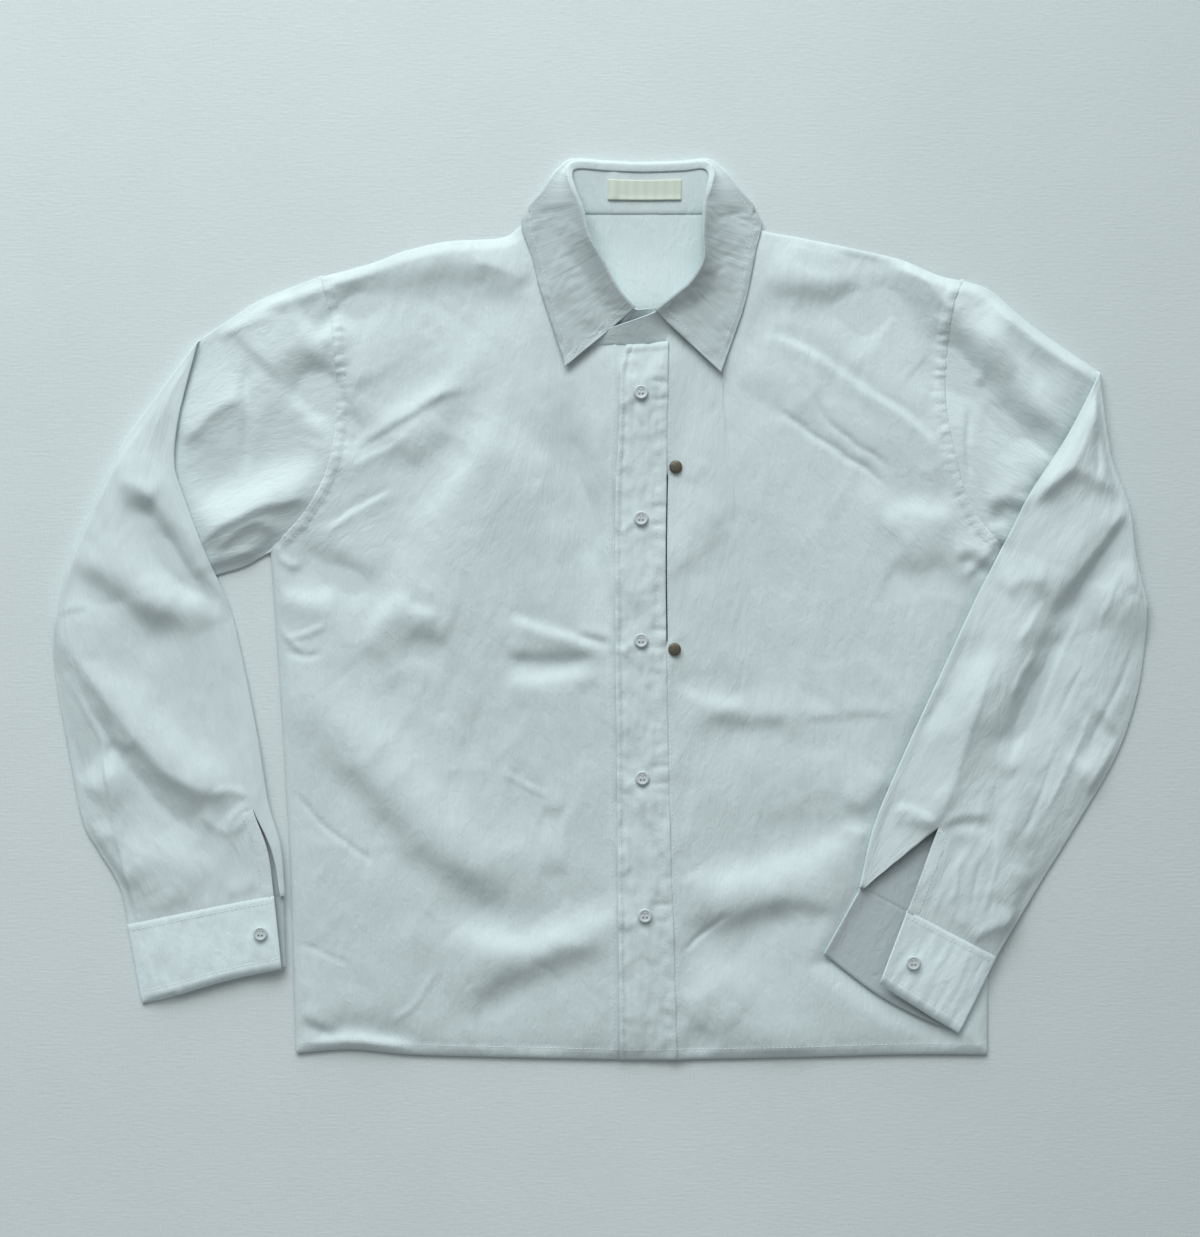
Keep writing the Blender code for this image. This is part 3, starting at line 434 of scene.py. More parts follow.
# Creases of the right sleeve below its elbow fold
LOWER_RIGHT_CREASES = creases({
    Profile.STEP: (
        (8, 6.6, (-381, 87), (-365, 84), (-349, 79), (-339, 65), (-328, 48), (-317, 28), (-301, 3)),
        (9, 3.6, (-290, -5), (-318, 11), (-345, 23), (-368, 25)),
        (9, 4.6, (-417, 42), (-402, 32), (-387, 21), (-371, 12), (-357, 0), (-339, -10), (-315, -13)),
        (13, 3, (-275, -141), (-320, -108), (-360, -71), (-402, -32)),
        (8, 3.2, (-370, -121), (-388, -125), (-406, -141)),
        (16, 3.6, (-298, -205), (-339, -183), (-378, -181)),
        (4, 1.6, (-385, -103), (-362, -110)),
        (7, 3.4, (-402, -170), (-387, -197), (-367, -225)),
        (4, 2.2, (-292, -228), (-276, -222), (-261, -216)),
    ),
    Profile.FOLD: (
        (5, -2, (-351, 54), (-337, 43), (-324, 32), (-312, 14), (-300, 0), (-285, -1)),
        (5, 2.6, (-378, 98), (-367, 98), (-354, 90), (-343, 82)),
        (11, 7.6, (-431, -5), (-418, -24), (-401, -46), (-381, -74), (-356, -106), (-331, -130),
         (-301, -142), (-268, -152)),
        (6, -2.6, (-413, -63), (-390, -92), (-359, -133), (-331, -163), (-301, -178)),
        (4, 2.2, (-315, -158), (-296, -172), (-281, -169), (-270, -155)),
    ),
    Profile.SOFT: (
        (2.2, 1, (-421, -2), (-402, 1), (-386, -1)),
        (2.4, 1.6, (-420, -43), (-402, -75), (-388, -103), (-382, -137), (-374, -176), (-367, -216),
         (-359, -252)),
        (2.4, 1.6, (-270, -149), (-287, -141), (-303, -142)),
        (2.2, 1.5, (-270, -151), (-282, -158), (-292, -170)),
        (2.2, 0.9, (-271, -158), (-273, -188), (-271, -219)),
        (2.4, -0.8, (-315, -195), (-308, -211), (-306, -230)),
    ),
})
# Creases of the left sleeve below its elbow fold
LOWER_LEFT_CREASES = creases({
    Profile.FOLD: (
        (7, 5.6, (335, 84), (349, 96), (364, 109), (378, 135), (392, 167)),
        (7, 5.2, (335, 81), (349, 95), (363, 108), (376, 104), (388, 99), (406, 92)),
        (3, -1.6, (360, -11), (374, 15), (390, 45), (415, 76)),
        (4, -2, (312, -124), (334, -83), (351, -39), (365, -5)),
        (5, 3, (315, 9), (328, 22), (349, 21)),
        (7, 4.4, (257, -177), (270, -144), (283, -105), (296, -66), (307, -30)),
        (4, 2.6, (226, -163), (243, -163), (264, -172)),
        (3.6, 2.4, (262, -170), (275, -163), (287, -160), (306, -163)),
        (5, 3.6, (282, -264), (300, -250), (315, -244), (331, -242)),
    ),
    Profile.SOFT: (
        (3, -1.6, (388, 140), (386, 120), (385, 98)),
        (3, 1.2, (413, 79), (399, 65), (388, 50), (373, 31), (359, 12)),
        (2.2, -1.2, (415, 81), (415, 62), (414, 42)),
        (2.2, 1.1, (396, 50), (406, 46), (421, 42)),
        (3, 1.3, (348, 9), (336, -8), (322, -30)),
        (3, 1.3, (339, -30), (328, -49), (317, -71)),
        (2.4, 1.6, (225, -158), (239, -156), (251, -160), (264, -169)),
        (2.4, 1, (407, 39), (384, -24), (359, -71)),
        (2.4, -1, (396, 7), (374, -46), (351, -98)),
        (2.2, 0.9, (379, 7), (357, -46), (343, -86)),
        (2.6, -1, (417, -24), (399, -71), (374, -117)),
        (2.4, 0.9, (387, -71), (367, -117), (343, -164)),
        (2.4, -0.9, (360, -102), (340, -149), (321, -188)),
        (2.2, 0.9, (281, -188), (277, -211), (271, -231)),
        (2.4, -0.9, (295, -189), (292, -214), (285, -238)),
        (2.2, 0.8, (310, -188), (304, -216), (296, -239)),
    ),
    Profile.STEP: (
        (8, 6.6, (345, -14), (357, 1), (376, 28), (393, 50), (418, 81)),
        (10, 6.2, (304, -117), (320, -82), (340, -39), (357, 3)),
        (8, 2, (309, -18), (287, -54), (260, -88), (247, -112)),
        (11, 4.6, (410, -99), (388, -116), (368, -128)),
        (8, 3, (331, -124), (318, -152), (312, -186)),
        (3, 1.2, (304, -172), (285, -170), (271, -174)),
        (6, 2.2, (321, -237), (339, -203)),
    ),
})

# The collar, a row for each section from the right front round the back to the left front: the
# crest of its roll, the heading in degrees in which the fall leaves it, how far the fall reaches
# in plan, how much of it is tucked back under, the lip inside the crest, and the neck seam below
COLLAR_SECTIONS = (
    (27, 234, 17.5, 220, 71, 0, 0, 14, 216),
    (20, 241, 18.5, 222, 66, 0, 0, 2, 231),
    (11, 253, 19.0, 214, 58, 0, 0, -9, 242),
    (0, 274, 20.0, 209, 53, 0, 0, -20, 257),
    (-9, 291, 20.0, 201, 47, 0, 0, -28, 276),
    (-14, 310, 18.0, 191, 48, 0, 1, -33, 296),
    (-17, 318, 16.0, 184, 38, 8, 1, -34, 308),
    (-21, 326, 13.5, 176, 24, 21, 2, -27, 310),
    (-25, 340, 9.0, 152, 9, 34, 3, -17, 311),
    (-19, 348, 6.5, 112, 4, 36, 4, -6, 311),
    (6, 347, 5.4, 91, 3, 34, 4, 6, 311),
    (34, 346, 5.4, 90, 3, 33, 4, 34, 311),
    (64, 347, 5.4, 89, 3, 34, 4, 63, 311),
    (82, 348, 6.5, 68, 4, 36, 4, 73, 311),
    (88, 340, 9.0, 29, 9, 34, 3, 83, 311),
    (85, 326, 13.5, 6, 24, 21, 2, 91, 310),
    (82, 318, 16.0, -4, 38, 8, 1, 95, 308),
    (81, 310, 18.0, -11, 46, 0, 1, 97, 296),
    (80, 291, 20.0, -15, 43, 0, 0, 97, 280),
    (80, 271, 20.0, -23, 40, 0, 0, 91, 264),
    (71, 255, 19.0, -41, 49, 0, 0, 82, 250),
    (61, 246, 18.5, -46, 58, 0, 0, 70, 238),
    (43, 232, 18.0, -43, 70, 0, 0, 57, 210),
)
STAND_END_RIGHT = (44, 235, 13.5, 0, 0, 0, 0, 46, 210)
STAND_END_LEFT = (-1, 217, 12.0, 0, 0, 0, 0, -11, 205)
LEAF_SECTIONS = 6
LABEL_SECTIONS = (10, 12)
LABEL_SPAN = (0.30, 0.76)
LABEL_ROWS = 15

PLACKET_BUTTONS = ((32, 169), (32, 71), (32, -24), (33, -131), (35, -238))
# The pulls round a placket button: a width, a height and points measured from the button
BUTTON_PULLS = (
    (1.5, -1.0, (6, 8), (13, 8.5), (22, 8)),
    (1.5, -1.0, (5, -4), (13, -5), (22, -4)),
    (3.0, 1.1, (-17, -12), (-9, -5), (-5, -2)),
    (3.0, 1.1, (-3, -8), (2, -24), (7, -40)),
    (3.0, -0.9, (-6, 8), (-8, 24), (-13, 40)),
    (3.0, 0.9, (4, 6), (8, 22), (4, 36)),
)
PLACKET_TOP_FOLD = creases({Profile.STEP: ((5.0, 1.6, (50, 214), (43, 193), (30, 172)),)})
CUFF_BUTTONS = {"right": (-264, -252), "left": (243, -274)}
RIVETS = {"rivet_upper": (59, 111), "rivet_lower": (58, -31)}
SLIT_TOP = 111.0
SLIT_BOTTOM = -31.0


def ease(value: Array) -> Array:
    """Eases 0 to 1 with level ends."""
    value = np.clip(value, 0.0, 1.0)
    return value * value * (3 - 2 * value)


def mix(start: Array, end: Array, share: Array) -> Array:
    """Goes from start to end by a share."""
    return start + (end - start) * share


def bell(value: Array, width: float) -> Array:
    """Gives 1 where the value is 0, falling off over a width to both sides."""
    return np.exp(-(value / width) ** 2)


def spot(
    x: Array, y: Array, centre: tuple[float, float], size: tuple[float, Union[float, Array]],
) -> Array:
    """Gives 1 at a place of the plan, falling off over a size along X and Y."""
    return np.exp(-((x - centre[0]) / size[0]) ** 2 - ((y - centre[1]) / size[1]) ** 2)


def run_along(line: Array) -> Array:
    """Gives how far along a line each of its points lies."""
    return np.concatenate([[0.0], np.cumsum(np.linalg.norm(np.diff(line, axis=0), axis=1))])


def back_to_front(rows: Line) -> Line:
    """Turns a line's points round."""
    return tuple(reversed(rows))


def smooth(rows: Array, steps: int) -> Array:
    """Runs a smooth curve through rows of values.

    Args:
        rows: the values, one row for each post of the curve.
        steps: how many steps to take between two posts.

    Returns:
        The rows of the curve, posts included.
    """
    posts = np.concatenate([2 * rows[:1] - rows[1:2], rows, 2 * rows[-1:] - rows[-2:-1]])
    t = np.arange(1, steps + 1).reshape(-1, *([1] * (rows.ndim - 1))) / steps
    parts = [rows[:1]]
    for a, b, c, d in zip(posts, posts[1:], posts[2:], posts[3:]):
        bend = (3 * b - a - 3 * c + d) * t ** 3 + (2 * a - 5 * b + 4 * c - d) * t ** 2
        parts.append(b + ((c - a) * t + bend) / 2)
    return np.concatenate(parts)


class Curve:
    """A smooth line through a few points, read by the share of its length."""

    def __init__(self, rows: Line) -> None:
        """Follows the points of a line."""
        self.points = smooth(np.array(rows, dtype=float), CURVE_STEPS)
        self.lengths = run_along(self.points)

    @property
    def length(self) -> float:
        """Gives the whole length."""
        return float(self.lengths[-1])

    def at(self, share: Array) -> Array:
        """Gives the points at shares, 0 to 1, of the length."""
        target = np.clip(share, 0.0, 1.0) * self.lengths[-1]
        return np.stack([np.interp(target, self.lengths, column) for column in self.points.T], axis=-1)

    def side(self, share: Array, hand: int) -> Array:
        """Gives unit vectors square to the line, to its left where hand is 1.

        Args:
            share: the shares of the length.
            hand: 1 for the left and -1 for the right.

        Returns:
            One vector a share.
        """
        along = self.at(share + 0.01) - self.at(share - 0.01)
        square = np.stack([-along[..., 1], along[..., 0]], axis=-1) * hand
        return square / np.linalg.norm(square, axis=-1, keepdims=True)


class Chain:
    """Several curves end to end, each with its own number of steps."""

    def __init__(self, *links: tuple[Curve, int]) -> None:
        """Takes curves in order, each with its number of steps."""
        self.links = links
        self.steps = sum(steps for _, steps in links)

    def at(self, share: Array) -> Array:
        """Gives the points at shares, 0 to 1, of the steps.

        Args:
            share: the shares of the steps.

        Returns:
            One point a share.
        """
        place = np.asarray(share) * self.steps
        points = self.links[0][0].at(place / self.links[0][1])
        start = self.links[0][1]
        for curve, steps in self.links[1:]:
            points = np.where((place >= start)[..., None], curve.at((place - start) / steps), points)
            start += steps
        return points


def patch(south: Curve, north: Curve, west: Curve, east: Curve) -> Plan:
    """Fills four edge curves.

    Args:
        south: the edge where the share along is 0.
        north: the edge where it is 1.
        west: the edge where the share across is 0.
        east: the edge where it is 1.

    Returns:
        A function from shares (across, along) to points.
    """
    def point(across: Array, along: Array) -> Array:
        """Gives the point at shares across and along."""
        u, v = np.broadcast_arrays(np.asarray(across, float), np.asarray(along, float))
        s, t = u[..., None], v[..., None]
        ruled = mix(south.at(u), north.at(u), t) + mix(west.at(v), east.at(v), s)
        low = mix(south.at(0.0), south.at(1.0), s)
        high = mix(north.at(0.0), north.at(1.0), s)
        return ruled - mix(low, high, t)
    return point


def nearest(line: Array, x: Array, y: Array) -> tuple[Array, Array]:
    """Finds where points lie beside a line.

    Args:
        line: the line's points.
        x: the points' places along X.
        y: the points' places along Y.

    Returns:
        The signed distance to the line, positive on its left, and the share along it.
    """
    runs = run_along(line)
    best = np.full(np.shape(x), np.inf)
    signed = np.zeros(np.shape(x))
    share = np.zeros(np.shape(x))
    for start, end, run, reach in zip(line, line[1:], runs, np.diff(runs)):
        dx, dy = end - start
        along = ((x - start[0]) * dx + (y - start[1]) * dy) / (dx * dx + dy * dy + 1e-12)
        along = np.clip(along, 0.0, 1.0)
        ox, oy = x - start[0] - dx * along, y - start[1] - dy * along
        away = np.hypot(ox, oy)
        closer = away < best
        best = np.where(closer, away, best)
        signed = np.where(closer, np.where(dx * oy - dy * ox < 0, -away, away), signed)
        share = np.where(closer, (run + along * reach) / runs[-1], share)
    return signed, share


def distance(line: Array, x: Array, y: Array) -> Array:
    """Gives how far points lie from a line, on either side."""
    return np.abs(nearest(line, x, y)[0])


def is_inside(loop: Array, x: Array, y: Array) -> Array:
    """Says which points lie inside a closed loop.

    Args:
        loop: the corners of the loop.
        x: the places across, in millimetres.
        y: the places along, in millimetres.

    Returns:
        True where a point is inside.
    """
    inside = np.zeros(np.shape(x), bool)
    for (ax, ay), (bx, by) in zip(loop, np.roll(loop, -1, axis=0)):
        if ay == by:
            continue
        crossing = ax + (y - ay) / (by - ay) * (bx - ax)
        inside ^= ((ay > y) != (by > y)) & (x < crossing)
    return inside


def depth_inside(loop: Array, x: Array, y: Array) -> Array:
    """Gives how far inside a loop points lie, negative outside."""
    away = distance(loop, x, y)
    return np.where(is_inside(loop, x, y), away, -away)


def swell(u: Array, v: Array, seed: int) -> Array:
    """Gives smooth noise, about -1 to 1, whose bumps are about 1 across.

    Args:
        u: the places across, in bumps.
        v: the places along, in bumps.
        seed: the seed of the noise.

    Returns:
        The noise at each place.
    """
    def slope(i: Array, j: Array) -> tuple[Array, Array]:
        """Gives the slope at corners of the grid."""
        code = (i * 374761393 + j * 668265263 + seed * 974634777) & 0xFFFFFFFF
        code = ((code ^ (code >> 13)) * 1274126177) & 0xFFFFFFFF
        angle = (code ^ (code >> 16)) * (2 * math.pi / 2 ** 32)
        return np.cos(angle), np.sin(angle)

    i, j = np.floor(u).astype(np.int64), np.floor(v).astype(np.int64)
    fu, fv = u - i, v - j
    su, sv = fu * fu * fu * (fu * (fu * 6 - 15) + 10), fv * fv * fv * (fv * (fv * 6 - 15) + 10)
    rows = []
    for dj in (0, 1):
        row = []
        for di in (0, 1):
            gx, gy = slope(i + di, j + dj)
            row.append(gx * (fu - di) + gy * (fv - dj))
        rows.append(mix(row[0], row[1], su))
    return 1.5 * mix(rows[0], rows[1], sv)


def outline_of(*lines: Line) -> Array:
    """Joins lines into one loop of points that smooth curves give."""
    return np.concatenate([Curve(rows).points[::LOOP_STRIDE] for rows in lines])


SILHOUETTE = outline_of(
    SHOULDER_RIGHT, SLEEVE_RIGHT.top_a, SLEEVE_RIGHT.fold, back_to_front(SLEEVE_RIGHT.top_b), SIDE_RIGHT,
    HEM_RIGHT, HEM_LEFT, back_to_front(SIDE_LEFT), SLEEVE_LEFT.top_b, back_to_front(SLEEVE_LEFT.fold),
    back_to_front(SLEEVE_LEFT.top_a), back_to_front(SHOULDER_LEFT),
)
LOWER_HALVES = {
    rows.outward: outline_of(
        (rows.edge[0], rows.seam[0]), back_to_front(rows.low_a), rows.fold, rows.low_b,
        (rows.seam[-1], rows.edge[-1]),
    )
    for rows in (SLEEVE_RIGHT, SLEEVE_LEFT)
}


def pressed_place(rows: SleeveRows) -> Array:
    """Gives the loop of cloth that a folded lower sleeve presses, a little past its cuff's mouth.

    Args:
        rows: the points that plan the sleeve.

    Returns:
        The points of the loop.
    """
    edge, seam = np.array(rows.edge, float), np.array(rows.seam, float)
    onward = (edge[0] - seam[0]) + (edge[-1] - seam[-1])
    mouth = [tuple(point) for point in edge + MOUTH_REACH * onward / np.hypot(*onward)]
    return outline_of(
        (mouth[0], rows.seam[0]), back_to_front(rows.low_a), rows.fold, rows.low_b,
        (rows.seam[-1], mouth[-1]), back_to_front(mouth), (mouth[0], rows.seam[0]),
    )


PRESSED_PLACES = {rows.outward: pressed_place(rows) for rows in (SLEEVE_RIGHT, SLEEVE_LEFT)}


def lower_half_depth(
    x: Array, y: Array, loops: dict[int, Array] = LOWER_HALVES,
) -> Array:
    """Gives how far inside the nearer folded lower sleeve a point lies, negative outside.

    Args:
        x: the places across, in millimetres.
        y: the places along, in millimetres.
        loops: the loop of each lower half, by hand.

    Returns:
        The depths, in millimetres.
    """
    depth = np.empty(np.shape(x))
    for hand, loop in loops.items():
        here = (x > 0) == (hand > 0)
        depth[here] = depth_inside(loop, x[here], y[here])
    return depth


def leaf_loops() -> list[Array]:
    """Gives the plan of the collar's two leaves as closed loops.

    Returns:
        One loop a leaf.
    """
    rows = np.array(COLLAR_SECTIONS, float)
    heading = np.radians(rows[:, 3])
    crest = rows[:, :2]
    tips = crest + np.stack([np.cos(heading), np.sin(heading)], axis=1) * rows[:, 4:5]
    ends = (slice(0, LEAF_SECTIONS + 1), slice(len(rows) - LEAF_SECTIONS - 1, len(rows)))
    return [np.concatenate([crest[part], tips[part][::-1], crest[part][:1]]) for part in ends]


def calm_under_collar(x: Array, y: Array) -> Array:
    """Gives 1 in the open and about 0 where the collar's leaves press the cloth flat.

    Args:
        x: the places across, in millimetres.
        y: the places along, in millimetres.

    Returns:
        The share of the relief that stays.
    """
    calm = np.ones(np.shape(x))
    for loop in leaf_loops():
        calm = calm * (1 - ease(LEAF_CALM + depth_inside(loop, x, y) / LEAF_BLEND))
    return calm


def folds_at(folds: Sequence[Fold], x: Array, y: Array) -> Array:
    """Adds up what the large folds lift or sink the cloth by.

    Args:
        folds: the large folds.
        x: the places across, in millimetres.
        y: the places along, in millimetres.

    Returns:
        The heights, in millimetres.
    """
    total = np.zeros(np.shape(x))
    for fold in folds:
        away = nearest(np.array(fold.line, float), x, y)[0]
        total += fold.height * bell(away, fold.width)
    return FOLD_SHARE * total


@dataclass(frozen=True)
class Relief:
    """The creases and the crumple of one stretch of cloth, added to the form of its solid.

    A wave is its height, then its size across and along the warp, in millimetres.
    """

    creases: tuple[Crease, ...]
    seed: int
    crumple: float = 1.0
    small: int = 150
    streaks: float = 0.22
    box: tuple[float, float, float, float] = (-440.0, -350.0, 430.0, 310.0)
    grain: float = 90.0
    grain_spread: float = 38.0
    half_length: tuple[float, float] = (10.0, 50.0)
    bow: float = 0.10
    width: tuple[float, float] = (2.2, 6.5)
    steepness: tuple[float, float] = (0.04, 0.115)
    broad_wave: tuple[float, float, float] = (2.4, 80.0, 120.0)
    facet_wave: tuple[float, float, float] = (1.1, 44.0, 72.0)
    fine_wave: tuple[float, float, float] = (0.5, 17.0, 34.0)
    streak_size: tuple[float, float] = (7.5, 38.0)
    patch_size: float = 60.0
    drift: float = 10.0
    drift_size: float = 50.0
    waver: float = 1.6
    waver_size: float = 22.0
    fade: float = 0.25

    def small_creases(self) -> list[Crease]:
        """Strews lesser creases that mostly run with the warp.

        Returns:
            The creases, in the order of their draws.
        """
        dice = np.random.default_rng(self.seed)
        low_x, low_y, high_x, high_y = self.box
        strewn = []
        for _ in range(self.small):
            x, y = dice.uniform(low_x, high_x), dice.uniform(low_y, high_y)
            heading = math.radians(self.grain + dice.normal(0.0, self.grain_spread))
            reach = dice.uniform(*self.half_length)
            bow = dice.normal(0.0, self.bow)
            dx, dy = math.cos(heading) * reach, math.sin(heading) * reach
            line = ((x - dx, y - dy), (x - dy * bow, y + dx * bow), (x + dx, y + dy))
            width = self.width[0] + self.width[1] * dice.uniform(0.0, 1.0) ** 2
            height = dice.choice((-1, 1)) * width * dice.uniform(*self.steepness)
            strewn.append(Crease(line, width, height, Profile.RIDGE))
        return strewn

    def crumpled(self, x: Array, y: Array) -> Array:
        """Gives the crumple that washing leaves, from hand-wide swells to thumb-wide facets.

        Args:
            x: the places across, in millimetres.
            y: the places along, in millimetres.

        Returns:
            The heights, in millimetres.
        """
        turn = math.radians(self.grain - 90.0)
        u = x * math.cos(turn) + y * math.sin(turn)
        v = y * math.cos(turn) - x * math.sin(turn)
        drifted = [
            place + self.drift * swell(u / self.drift_size, v / self.drift_size, self.seed + number)
            for number, place in enumerate((u, v), 1)
        ]

        def wave(across: float, along: float, number: int) -> Array:
            """Gives the noise of one size."""
            return swell(drifted[0] / across, drifted[1] / along, self.seed + number)

        (broad, *broad_size), (facet, *facet_size) = self.broad_wave, self.facet_wave
        fine, *fine_size = self.fine_wave
        coarse = broad * wave(*broad_size, 3) + facet * (0.35 - np.abs(wave(*facet_size, 4)))
        close = fine * (np.abs(wave(*fine_size, 5)) - 0.35) + self.streaks * wave(*self.streak_size, 7)
        patchy = 0.4 + 0.6 * ease(0.5 + swell(u / self.patch_size, v / self.patch_size, self.seed + 6))
        return self.crumple * (coarse + close * patchy)

    def at(self, x: Array, y: Array) -> Array:
        """Gives the relief at points of the plan, in millimetres.

        Args:
            x: the places across, in millimetres.
            y: the places along, in millimetres.

        Returns:
            The heights, in millimetres.
        """
        px, py = (
            place + self.waver * swell(x / self.waver_size, y / self.waver_size, self.seed + number)
            for number, place in ((11, x), (12, y))
        )
        total = self.crumpled(x, y)
        for crease in (*self.creases, *self.small_creases()):
            line = Curve(crease.line).points[::CREASE_STRIDE]
            low, high = line.min(axis=0) - crease.reach(), line.max(axis=0) + crease.reach()
            near = (px > low[0]) & (px < high[0]) & (py > low[1]) & (py < high[1])
            if not near.any():
                continue
            away, share = nearest(line, px[near], py[near])
            total[near] += ease(share / self.fade) * ease((1 - share) / self.fade) * crease.form(away)
        return total


BODY_RELIEF = Relief(FRONT_RIGHT_CREASES + FRONT_LEFT_CREASES + UPPER_SLEEVE_CREASES, seed=11, small=460)
UNDERARM_SEAM = ((-390, -100), (-384, -118), (-381, -153), (-376, -181), (-366, -218), (-358, -262))
LOWER_RELIEF = {
    -1: Relief(
        LOWER_RIGHT_CREASES + (Crease(UNDERARM_SEAM, 1.8, 1.0, Profile.RIDGE),),
        seed=37, small=120, streaks=0.34, box=(-430, -260, -240, 210), grain=108.0, crumple=0.8,
    ),
    1: Relief(
        LOWER_LEFT_CREASES, seed=53, small=210, streaks=0.55, box=(200, -300, 430, 190), grain=62.0,
        crumple=0.85,
    ),
}


def body_surface(x: Array, y: Array, creased: float = 1.0) -> Array:
    """Gives the height of the front layer of the body and of the upper sleeves.

    Args:
        x: places along X.
        y: places along Y.
        creased: the share of the creases' height that is felt.

    Returns:
        The heights in millimetres.
    """
    depth = distance(SILHOUETTE, x, y)
    pressed = lower_half_depth(x, y, PRESSED_PLACES)
    cover = ease(0.5 + pressed / COVER_BLEND)
    lift = mix(BODY_RISE, COVERED_RISE, cover) + folds_at(BODY_FOLDS, x, y) * (1 - cover)
    length = mix(RISE_LENGTH, SHOULDER_RISE_LENGTH, ease((y - SHOULDER_FROM) / SHOULDER_BLEND))
    rise = (1 - np.exp(-depth / length)) * lift
    below_cuff = CUFF_SPOT_SPREAD * spot(x, y, CUFF_SPOT, CUFF_SPOT_SIZE)
    calm = np.maximum(ease(pressed / COVER_BLEND) * COVER_CALM, CUFF_CALM * np.minimum(below_cuff, 1))
    relief = creased * BODY_RELIEF.at(x, y) * ease(depth / EDGE_CALM) * (1 - calm) * calm_under_collar(x, y)
    dip = NECK_DIP * spot(x, y, NECK_DIP_CENTRE, NECK_DIP_SIZE)
    edge = FRONT_EDGE - EDGE_DROP * np.exp(-depth / EDGE_DROP_LENGTH)
    return edge + np.maximum(rise + relief - dip, 0.0)


def support_height(x: Array, y: Array) -> Array:
    """Gives the height of the under layer of a folded sleeve, on the body or on the floor.

    Args:
        x: the places across, in millimetres.
        y: the places along, in millimetres.

    Returns:
        The heights, in millimetres.
    """
    away = distance(SILHOUETTE, x, y)
    beside = mix(FLOOR_LAYER, FRONT_EDGE + ON_BODY, ease(1 - away / STEP_DOWN))
    return np.where(is_inside(SILHOUETTE, x, y), body_surface(x, y, SUPPORT_RELIEF) + ON_BODY, beside)


def plain_lift(x: Array, y: Array) -> Array:
    """Gives how far the uncreased top layer of a folded sleeve lies above its under layer."""
    depth = np.maximum(lower_half_depth(x, y), 0.0)
    return LAYER + (1 - np.exp(-depth / RISE_LENGTH)) * SLEEVE_RISE


def folded_lift(x: Array, y: Array, hand: int) -> Array:
    """Gives how far the creased top layer of a folded sleeve lies above its under layer.

    Args:
        x: the places across, in millimetres.
        y: the places along, in millimetres.
        hand: 1 for the left sleeve and -1 for the right.

    Returns:
        The heights, in millimetres.
    """
    depth = np.maximum(lower_half_depth(x, y), 0.0)
    folds = (1 - np.exp(-depth / RISE_LENGTH)) * folds_at(SLEEVE_FOLDS, x, y)
    relief = LOWER_RELIEF[hand].at(x, y) * ease(depth / SLEEVE_EDGE_CALM)
    return np.maximum(plain_lift(x, y) + folds + relief, LAYER)


# Meshes


def add_object(name: str, mesh: Mesh, material: Material) -> Piece:
    """Puts a mesh in the scene as a smooth piece with a material.

    Args:
        name: the piece's name.
        mesh: its mesh.
        material: its finish.

    Returns:
        The piece.
    """
    mesh.materials.clear()
    mesh.materials.append(material)
    mesh.shade_smooth()
    piece = bpy.data.objects.new(name, mesh)
    bpy.context.scene.collection.objects.link(piece)
    return piece


def cloth(
    name: str, points: Array, material: Material, thickness: float = CLOTH,
    joined: bool = False, crosswise: bool = False, inner: Optional[Material] = None,
    turned: bool = False,
) -> Piece:
    """Makes a shell of cloth on a grid of points.

    Args:
        name: the piece's name.
        points: the middle of the cloth in millimetres, rows by columns.
        material: the finish.
        thickness: the cloth's thickness in millimetres.
        joined: whether columns that meet are sewn into a tube.
        crosswise: whether the warp runs across the rows.
        inner: the finish of the side that faces into a tube, here a cotton painted darker as shade, or None
            for the same.
        turned: whether the grid's order makes its faces look into the tube.

    Returns:
        The piece, with a UV map in metres of cloth.
    """
    rows, columns = points.shape[:2]
    bm = bmesh.new()
    bmesh.ops.create_grid(bm, x_segments=columns - 1, y_segments=rows - 1, size=0.5)
    bm.verts.sort(key=lambda vertex: vertex.co.y * 1000 + vertex.co.x)
    mesh = bpy.data.meshes.new(name)
    bm.to_mesh(mesh)
    bm.free()
    mesh.vertices.foreach_set("co", (points * METRE).astype(np.float32).ravel())

    u = run_along(points[rows // 2]) * METRE
    v = run_along(points[:, columns // 2]) * METRE
    corners = np.empty(len(mesh.loops), np.int32)
    mesh.loops.foreach_get("vertex_index", corners)
    layer = mesh.uv_layers.new(name="UVMap")
    places = [u[corners % columns], v[corners // columns]]
    layer.data.foreach_set("uv", np.stack(places[::-1] if crosswise else places, axis=1).ravel())
    mesh.update()
    if turned:
        mesh.flip_normals()
    if joined:
        bm = bmesh.new()
        bm.from_mesh(mesh)
        bmesh.ops.remove_doubles(bm, verts=bm.verts, dist=2e-6)
        bm.to_mesh(mesh)
        bm.free()
    piece = add_object(name, mesh, material)
    wall = piece.modifiers.new("Wall", "SOLIDIFY")
    wall.thickness = thickness * METRE
    wall.offset = 0.0
    if inner:
        mesh.materials.append(inner)
        wall.material_offset = 1
    flat_edges = piece.modifiers.new("Flat_edges", "WEIGHTED_NORMAL")
    flat_edges.mode = "FACE_AREA"
    flat_edges.weight = 95
    flat_edges.keep_sharp = True
    return piece


